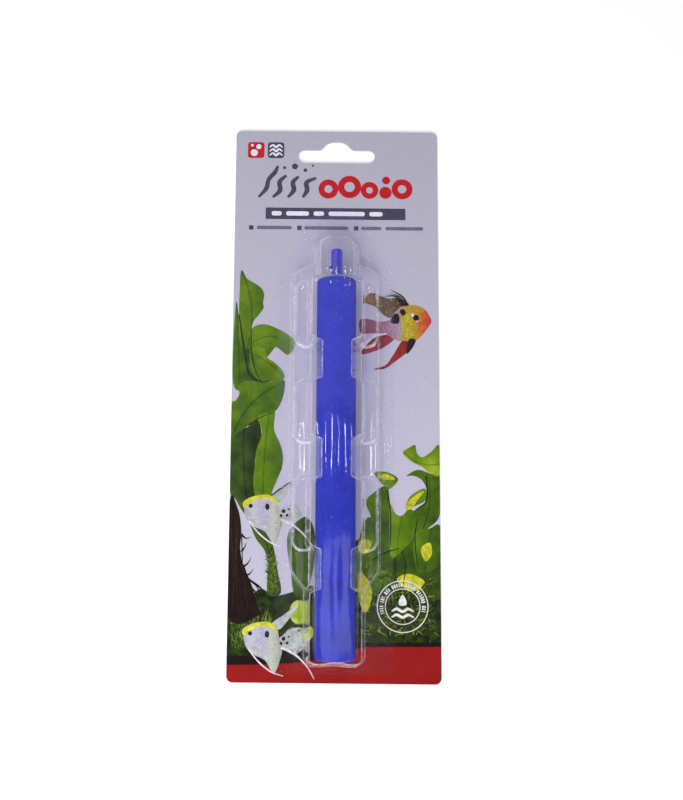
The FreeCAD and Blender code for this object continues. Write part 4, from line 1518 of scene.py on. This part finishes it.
def mould_blocks():
    """(outline, top height, draft) of each block that the sheet is drawn over, lowest first."""
    step = [
        (POCKET_FOOT, STEP_SQUARE - 7.0, 2.0), (STEP_HALF, STEP_SQUARE, 5.0),
        (STEP_HALF, STEP_SHOULDER, 5.0), (STEP_NECK, STEP_SHOULDER + 2.4, 2.5),
        (STEP_NECK, STEP_TOP, STEP_CORNER),
    ]
    blocks = [(step, STEP_Z, STEP_DRAFT)]
    spans = pocket_spans()
    for top, end in spans[:3]:
        high, low = min(top + 2.4, CAVITY_TOP), end - 2.4
        blocks.append(([(PAD_HALF, low, 3.7), (PAD_HALF, high, 3.7)], PAD_Z, STEP_DRAFT))
    dome = [(NOZZLE_HALF, CAVITY_TOP - NOZZLE_HALF, 0), (NOZZLE_HALF, NOZZLE_END, NOZZLE_CORNER)]
    blocks.append((dome, NOZZLE_POCKET_Z, NOZZLE_DRAFT))
    for (_, end), (top, _) in zip(spans, spans[1:]):
        blocks.append(([(WAIST_HALF, top - 1, 0), (WAIST_HALF, end + 1, 0)], CAVITY_Z, WAIST_DRAFT))
    for top, end in spans:
        points = []
        if end > CAVITY_END:
            points += [(WAIST_HALF, end - WAIST_CHAMFER, 0), (POCKET_HALF, end, 0.5)]
        else:
            points += [(2.9, end + 0.6, 0.5), (3.5, end, 0.8), (POCKET_HALF, end, 2.4)]
        if top < CAVITY_TOP:
            points += [(POCKET_HALF, top, 0.5), (WAIST_HALF, top + WAIST_CHAMFER, 0)]
        else:
            points += [(POCKET_HALF, top, 1.2)]
        blocks.append((points, CAVITY_Z, POCKET_DRAFT))
    return [(rounded(mirrored(points)), top, draft) for points, top, draft in blocks]


def flange_outline():
    """The sheet's cut edge."""
    points = [
        (FLANGE_HALF, CAVITY_END - FLANGE_BELOW, 4.0), (FLANGE_HALF, CAVITY_TOP + 7.0, 9.0),
        (FLANGE_NECK, CAVITY_TOP + 15.0, 9.0), (FLANGE_NECK - 2.4, CAVITY_TOP + FLANGE_ABOVE, 9.0),
    ]
    return rounded(mirrored(points), 16)


def outline_distance(x, y, outline):
    """Signed distance of each point to a closed outline, negative inside."""
    nearest = np.full(x.shape, np.inf)
    inside = np.zeros(x.shape, bool)
    for (ax, ay), (bx, by) in zip(outline, outline[1:] + outline[:1]):
        ex, ey = bx - ax, by - ay
        length = ex * ex + ey * ey
        if length < 1e-12:
            continue
        t = np.clip(((x - ax) * ex + (y - ay) * ey) / length, 0, 1)
        nearest = np.minimum(nearest, (x - ax - t * ex) ** 2 + (y - ay - t * ey) ** 2)
        if ay != by:
            inside ^= ((ay > y) != (by > y)) & (x < ex * (y - ay) / ey + ax)
    return np.where(inside, -1, 1) * np.sqrt(nearest)


def drawn_over(base, distance, top, draft, fold):
    """The sheet's height after a block is pushed up through it: a flat top, a round fold, a drafted wall
    and a round foot on the sheet's height so far."""
    lean = math.radians(draft)
    slope, half = math.tan(lean), math.tan((math.pi / 2 - lean) / 2)
    run = fold * half
    arc = top - fold + np.sqrt(np.clip(fold**2 - (run + distance) ** 2, 0, None))
    wall = np.where(
        distance <= -run, top, np.where(distance < run * math.sin(lean), arc, top - distance / slope)
    )
    room = top - base
    foot = np.minimum(fold, np.clip(room, 0, None) * 0.4)
    past = distance - room * slope
    reach = foot * half
    hollow = base + foot - np.sqrt(np.clip(foot**2 - (reach - past) ** 2, 0, None))
    in_foot = (room > 0.05) & (past > -reach * math.sin(lean)) & (past < reach)
    return np.where(in_foot, np.maximum(hollow, base), np.maximum(base, wall))


def rows_along():
    """The y of each row of the sheet's mesh: close together at the folds, further apart between."""
    fine = [
        (SHEET_LOW[1], 0.2, 0.2), (SHEET_LOW[1] + 2.0, 2.0, 0.45), (CAVITY_END - 0.2, 2.2, 0.2),
        (STEP_SQUARE - 3.5, 5.0, 0.5), (CAVITY_TOP + 0.7, 1.6, 0.18), (STEP_SHOULDER + 0.5, 3.5, 0.35),
        ((NOZZLE_END - NOZZLE_CORNER + STEP_TOP) / 2, 4.5, 0.28), (SHEET_HIGH[1] - 4.0, 4.0, 0.5),
        (SHEET_HIGH[1], 0.3, 0.12),
    ]
    for top, end in pocket_spans():
        fine += [(end - 1.4, 2.6, 0.24)] if end > CAVITY_END else []
        fine += [(top + 1.4, 2.6, 0.24)] if top < CAVITY_TOP else []
    y, rows = SHEET_LOW[1], []
    while y < SHEET_HIGH[1] - 0.05:
        rows.append(y)
        steps = [spacing + 0.22 * max(0.0, abs(y - centre) - half) for centre, half, spacing in fine]
        y += min(1.3, *steps)
    return np.array(rows + [SHEET_HIGH[1]])


def half_width(outline, y):
    """The widest x of an outline at each y."""
    widest = np.zeros(len(y))
    for (ax, ay), (bx, by) in zip(outline, outline[1:] + outline[:1]):
        if abs(ay - by) < 1e-9:
            reached = np.abs(y - ay) < 1e-6
            widest = np.where(reached, np.maximum(widest, max(ax, bx)), widest)
            continue
        t = (y - ay) / (by - ay)
        reached = (t >= -1e-9) & (t <= 1 + 1e-9)
        widest = np.where(reached, np.maximum(widest, ax + (bx - ax) * np.clip(t, 0, 1)), widest)
    return widest


def between(a, b, near_a, middle, near_b):
    """Columns from a (included) to b (left out): near_a and near_b are distances from each end, shrunk
    where there is little room, with middle even ones between."""
    reach = (near_a[-1] if near_a else 0) + (near_b[-1] if near_b else 0)
    squeeze = np.minimum(1.0, (b - a) * 0.8 / max(reach, 1e-6))
    first = [a] + [a + squeeze * d for d in near_a]
    last = [b - squeeze * d for d in reversed(near_b)]
    start, end = first[-1], (last[0] if last else b)
    even_ones = [start + (end - start) * (k + 1) / (middle + 1) for k in range(middle)]
    return first + even_ones + last


def columns_across(y):
    """The x of each column of the sheet's right half, row by row, so that columns follow the folds."""
    spans = pocket_spans()
    marks, tops, feet = [SHEET_LOW[1]], [POCKET_HALF], [POCKET_FOOT + 0.4]
    for top, end in reversed(spans):
        if end > CAVITY_END:
            marks += [end - WAIST_CHAMFER, end]
            tops += [WAIST_HALF, POCKET_HALF]
            feet += [WAIST_FOOT, POCKET_FOOT]
        if top < CAVITY_TOP:
            marks += [top, top + WAIST_CHAMFER]
            tops += [POCKET_HALF, WAIST_HALF]
            feet += [POCKET_FOOT, WAIST_FOOT]
    marks += [CAVITY_TOP - 0.4, CAVITY_TOP + 0.8]
    tops += [POCKET_HALF, NOZZLE_HALF]
    feet += [POCKET_FOOT, NOZZLE_FOOT]
    for k in range(7):
        a = math.radians(75 * k / 6)
        marks.append(NOZZLE_END - NOZZLE_CORNER + NOZZLE_CORNER * math.sin(a))
        tops.append(NOZZLE_HALF - NOZZLE_CORNER * (1 - math.cos(a)))
        feet.append(NOZZLE_FOOT - (NOZZLE_CORNER + 1) * (1 - math.cos(a)))
    marks, tops, feet = marks + [SHEET_HIGH[1]], tops + [tops[-1]], feet + [feet[-1]]
    # the folds from the middle out: cavity's top, cavity's foot, step's top, step's foot, cut edge
    k1, k2 = np.interp(y, marks, tops), np.interp(y, marks, feet)
    step_marks = [STEP_SQUARE - 8.5, STEP_SQUARE - 7.0, STEP_SQUARE, STEP_SHOULDER, STEP_SHOULDER + 2.4]
    step_tops = [POCKET_FOOT + 1.2, POCKET_FOOT + 1.0, STEP_HALF, STEP_HALF, STEP_NECK]
    for k in range(7):
        a = math.radians(80 * k / 6)
        step_marks.append(STEP_TOP - STEP_CORNER + STEP_CORNER * math.sin(a))
        step_tops.append(STEP_NECK - STEP_CORNER * (1 - math.cos(a)))
    k3 = np.maximum(np.interp(y, step_marks, step_tops), k2 + 0.7)
    k5 = half_width(flange_outline(), y)
    k3 = np.minimum(k3, k5 - 2.0)
    k2 = np.minimum(k2, k3 - 0.4)
    k1 = np.minimum(k1, k2 - 0.4)
    k4 = np.minimum(k3 + 0.77, k5 - 1.0)
    columns = between(0 * y, k1, [], 9, [0.12, 0.3, 0.5, 0.7])
    columns += between(k1, k2, [0.09, 0.16], 4, [0.05])
    before_step = [0.12, 0.26, 0.42, 0.58, 0.74, 0.9, 1.1, 1.3, 1.5]
    columns += between(k2, k3, AFTER_FOLD, 4, before_step)
    columns += between(k3, k4, [0.1], 1, [0.1])
    columns += between(k4, k5, AFTER_FOLD, 5, [0.15])
    columns.append(k5)
    return np.stack(columns, 1)


PULL_PITCH = 5.2  # spacing of the lengthwise pulls
WAIST_PULL, TOP_PULL = -22.0, 45.5  # the y where the pulls are strongest


def ripples(x, y):
    """How far the drawn sheet sags below its mould's flat top: lengthwise pulls, stronger at a pocket's
    ends, and a slow unevenness."""
    chance = random.Random(3)
    sag = np.zeros(x.shape)
    for _ in range(7):
        size = chance.uniform(0.008, 0.02)
        across, along = chance.uniform(-0.5, 0.5), chance.uniform(-0.16, 0.16)
        sag += size * (1 + np.sin(across * x + along * y + chance.uniform(0, 6.3)))
    pull = 0.018 + 0.05 * np.exp(-(((y - WAIST_PULL) / 11) ** 2))
    pull += 0.02 * np.exp(-(((y - TOP_PULL) / 2.2) ** 2))
    drift = 0.5 * np.sin(y / 17)
    sag += pull * (1 - np.cos(2 * math.pi * (x + drift - 0.4) / PULL_PITCH))
    return sag


def make_blister():
    """The clear sheet: a grid of heights drawn over the mould's blocks, then given its thickness."""
    rows = rows_along()
    right = columns_across(rows)
    x = np.concatenate([-right[:, :0:-1], right], 1)
    y = np.repeat(rows[:, None], x.shape[1], 1)
    z = np.full(x.shape, FLANGE_Z)
    for outline, top, draft in mould_blocks():
        z = drawn_over(z, outline_distance(x, y, outline), top, draft, length_mm("fold"))
    raised = np.clip((z - FLANGE_Z) / 1.0, 0, 1)
    z = z - ripples(x, y) * raised
    count, width = x.shape
    points = np.stack([x, y, z], 2).reshape(-1, 3)
    faces = [
        (i * width + j, i * width + j + 1, (i + 1) * width + j + 1, (i + 1) * width + j)
        for i in range(count - 1) for j in range(width - 1)
    ]
    piece = mesh_piece("clear_blister", points, faces, sheet_material(), smooth=True)
    wall = piece.modifiers.new("wall", "SOLIDIFY")
    wall.thickness = length_mm("sheet") * MM
    wall.offset = -1
    applied(piece)
    data = piece.data
    data.set_sharp_from_angle(angle=math.radians(60))
    # drawn is how steep the sheet is there; the sheet's material lays its white film by it, partly
    # whitening and partly painted reflection
    steep = [1 - abs(v.normal.z) for v in data.vertices]
    low = [max(0.0, 1 - (v.co.z / MM - FLANGE_Z) / 0.3) for v in data.vertices]
    for name, values in (("drawn", steep), ("sealed", low)):
        data.attributes.new(name, "FLOAT", "POINT").data.foreach_set("value", values)
    place_piece(piece, "blister", "clear_sheet", "blister")


# --- stage -------------------------------------------------------------------------------------
FLOOR_HALF = 2500
FLOOR_DROP = 0.3  # the paper lies this far under the card
CAMERA_PLACE = (-14.0, -60.6, 416.4)
CAMERA_SIDE = (0.99995, 0.01033, -0.00014)
CAMERA_BACK = (0.00159, -0.13995, 0.99016)
CAMERA_LENS = 46.2
CAMERA_SHIFT = (0.0525, 0.0016)  # the camera stands left of the pack and keeps square to it
LAMP_HEIGHT = 520
# Small lamps overhead, each mirrored by one stretch of the sheet: x, y, x it aims at, width, length,
# watts and hue.
LAMPS = {
    "lamp_waist": (18, 30, 18, 22, 24, 0.036, "#FFFFFF"),
    "lamp_top": (20, 186, 20, 10, 8, 0.0055, "#FFFFFF"),
    "glow_top": (17, 190, 17, 130, 250, 0.11, "#B4AEFF"),
    "glow_end": (17, -104, 17, 38, 100, 0.02, "#FFFFFF"),
    "strip_left": (-170, -20, -34, 16, 420, 0.12, "#FFFFFF"),
    "strip_right": (180, -20, 36, 16, 420, 0.08, "#FFFFFF"),
}


def axes_turn(side, up, back):
    """The rotation whose own axes are the three given."""
    return Matrix((side, up, back)).transposed()


def area_light(name, place, aim, width, length, power, hue="#FFFFFF"):
    """A flat lamp aimed at a point, with its long side in the upright plane."""
    data = bpy.data.lights.new(name, "AREA")
    data.shape = "RECTANGLE"
    data.size, data.size_y = width * MM, length * MM
    data.energy = power
    data.color = linear(hue)[:3]
    made = bpy.data.objects.new(name, data)
    made.location = Vector(place) * MM
    back = (Vector(place) - Vector(aim)).normalized()
    up = back.cross(Vector((1, 0, 0))).normalized()
    made.rotation_euler = axes_turn(up.cross(back), up, back).to_euler()
    bpy.context.scene.collection.objects.link(made)


def light_world():
    """A light tent: brighter round the horizon than overhead."""
    world = bpy.data.worlds.new("studio")
    world.use_nodes = True
    sky = world.node_tree
    split = add(sky, "ShaderNodeSeparateXYZ", {0: add(sky, "ShaderNodeTexCoord").outputs["Generated"]})
    level = add(
        sky, "ShaderNodeMapRange",
        {"Value": split.outputs["Z"], "From Min": 0.1, "From Max": 0.95, "To Min": 1.1, "To Max": 0.13},
    )
    background = sky.nodes["Background"]
    background.inputs["Color"].default_value = linear("#F8F8FF")
    sky.links.new(level.outputs[0], background.inputs["Strength"])
    bpy.context.scene.world = world


def paper_material():
    """White seamless paper: matt with a fine tooth, and glowing a little so that it stays white."""
    made, tree, place = new_material("white_seamless_paper")
    tooth = add(tree, "ShaderNodeTexNoise", {"Vector": place, "Scale": per(0.8), "Detail": 2.0})
    bump = add(
        tree, "ShaderNodeBump", {"Height": tooth.outputs["Fac"], "Strength": 0.05, "Distance": 0.0001}
    )
    values = {"Base Color": "#FFFFFF", "Roughness": 0.9, "Normal": bump}
    values |= {"Emission Color": "#FFFFFF", "Emission Strength": 0.14}
    finish_material(tree, add(tree, "ShaderNodeBsdfPrincipled", values))
    return made


def set_stage():
    """The paper floor, the world, the lamps and the camera."""
    scene = bpy.context.scene
    scene.view_settings.view_transform = "Standard"
    light_world()
    corners = [
        (x * FLOOR_HALF, y * FLOOR_HALF, -FLOOR_DROP) for x, y in ((-1, -1), (1, -1), (1, 1), (-1, 1))
    ]
    mesh_piece("studio_floor", corners, [(0, 1, 2, 3)], paper_material())

    area_light("softbox_front", (-90, -500, 400), (0, -60, 0), 400, 260, 3.0)
    area_light("fill", (-330, 260, 700), (0, 0, 0), 500, 500, 1.3)
    for name, (x, y, aimed, width, length, power, hue) in LAMPS.items():
        area_light(name, (x, y, LAMP_HEIGHT), (aimed, y, 0), width, length, power, hue)

    data = bpy.data.cameras.new("camera")
    data.lens = CAMERA_LENS
    data.sensor_width = 36
    data.shift_x, data.shift_y = CAMERA_SHIFT
    camera = bpy.data.objects.new("camera", data)
    back = Vector(CAMERA_BACK).normalized()
    up = back.cross(Vector(CAMERA_SIDE).normalized()).normalized()
    turn = axes_turn(up.cross(back).normalized(), up, back)
    camera.matrix_world = Matrix.Translation(Vector(CAMERA_PLACE) * MM) @ turn.to_4x4()
    scene.collection.objects.link(camera)
    scene.camera = camera


# --- add-on ------------------------------------------------------------------------------------
class AirStoneBoard(bpy.types.Operator):
    """Gives the card its coated board"""

    bl_idname = "air_stone.board"
    bl_label = "Card's board"

    def execute(self, context):
        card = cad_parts["backing_card"]
        card.data.materials.clear()
        card.data.materials.append(board_material())
        return {"FINISHED"}


class AirStonePlants(bpy.types.Operator):
    """Prints the grounds and plants on the card and grows their moss"""

    bl_idname = "air_stone.plants"
    bl_label = "Printed plants"

    def execute(self, context):
        print_grounds()
        print_plants()
        grow_moss()
        return {"FINISHED"}


class AirStoneSeal(bpy.types.Operator):
    """Prints the round badge on the card, with its ticks"""

    bl_idname = "air_stone.seal"
    bl_label = "Printed badge"

    def execute(self, context):
        tick_seal(print_seal())
        return {"FINISHED"}


class AirStoneFish(bpy.types.Operator):
    """Prints the fish on the card"""

    bl_idname = "air_stone.fish"
    bl_label = "Printed fish"

    def execute(self, context):
        print_fish()
        return {"FINISHED"}


class AirStoneHeader(bpy.types.Operator):
    """Prints the generic header marks on the card"""

    bl_idname = "air_stone.header"
    bl_label = "Header marks"

    def execute(self, context):
        print_header()
        return {"FINISHED"}


class AirStoneStone(bpy.types.Operator):
    """Turns the stone and grows its grain"""

    bl_idname = "air_stone.stone"
    bl_label = "Stone"

    def execute(self, context):
        make_stone()
        return {"FINISHED"}


class AirStoneNozzle(bpy.types.Operator):
    """Turns the nozzle and its resin bead"""

    bl_idname = "air_stone.nozzle"
    bl_label = "Nozzle and resin"

    def execute(self, context):
        make_nozzle()
        make_resin()
        return {"FINISHED"}


class AirStoneBlister(bpy.types.Operator):
    """Draws the clear sheet over its mould"""

    bl_idname = "air_stone.blister"
    bl_label = "Blister"

    def execute(self, context):
        make_blister()
        return {"FINISHED"}


class AirStoneStage(bpy.types.Operator):
    """Sets the floor, the lights and the camera"""

    bl_idname = "air_stone.stage"
    bl_label = "Stage"

    def execute(self, context):
        set_stage()
        return {"FINISHED"}


class AirStonePanel(bpy.types.Panel):
    """Lists the air stone's steps and its settings"""

    bl_idname = "VIEW3D_PT_air_stone"
    bl_label = "Air stone"
    bl_space_type = "VIEW_3D"
    bl_region_type = "UI"
    bl_category = "Air stone"

    def draw(self, context):
        for group in (context.scene.air_stone_sizes, context.scene.air_stone_colours):
            for name in group.__annotations__:
                self.layout.prop(group, name)
        for step in STEPS:
            self.layout.operator(step.bl_idname)


STEPS = (
    AirStoneStage,
    AirStoneBoard,
    AirStonePlants,
    AirStoneSeal,
    AirStoneFish,
    AirStoneHeader,
    AirStoneStone,
    AirStoneNozzle,
    AirStoneBlister,
)
CLASSES = (AirStoneSizes, AirStoneColours) + STEPS + (AirStonePanel,)


def register():
    """Registers the classes and puts their settings on the scene."""
    for made in CLASSES:
        bpy.utils.register_class(made)
    bpy.types.Scene.air_stone_sizes = bpy.props.PointerProperty(type=AirStoneSizes)
    bpy.types.Scene.air_stone_colours = bpy.props.PointerProperty(type=AirStoneColours)


def unregister():
    """Takes the settings and the classes away again."""
    del bpy.types.Scene.air_stone_colours
    del bpy.types.Scene.air_stone_sizes
    for made in reversed(CLASSES):
        bpy.utils.unregister_class(made)


def main():
    register()
    for step in STEPS:
        group, name = step.bl_idname.split(".")
        getattr(getattr(bpy.ops, group), name)()


if __name__ == "__main__":
    main()
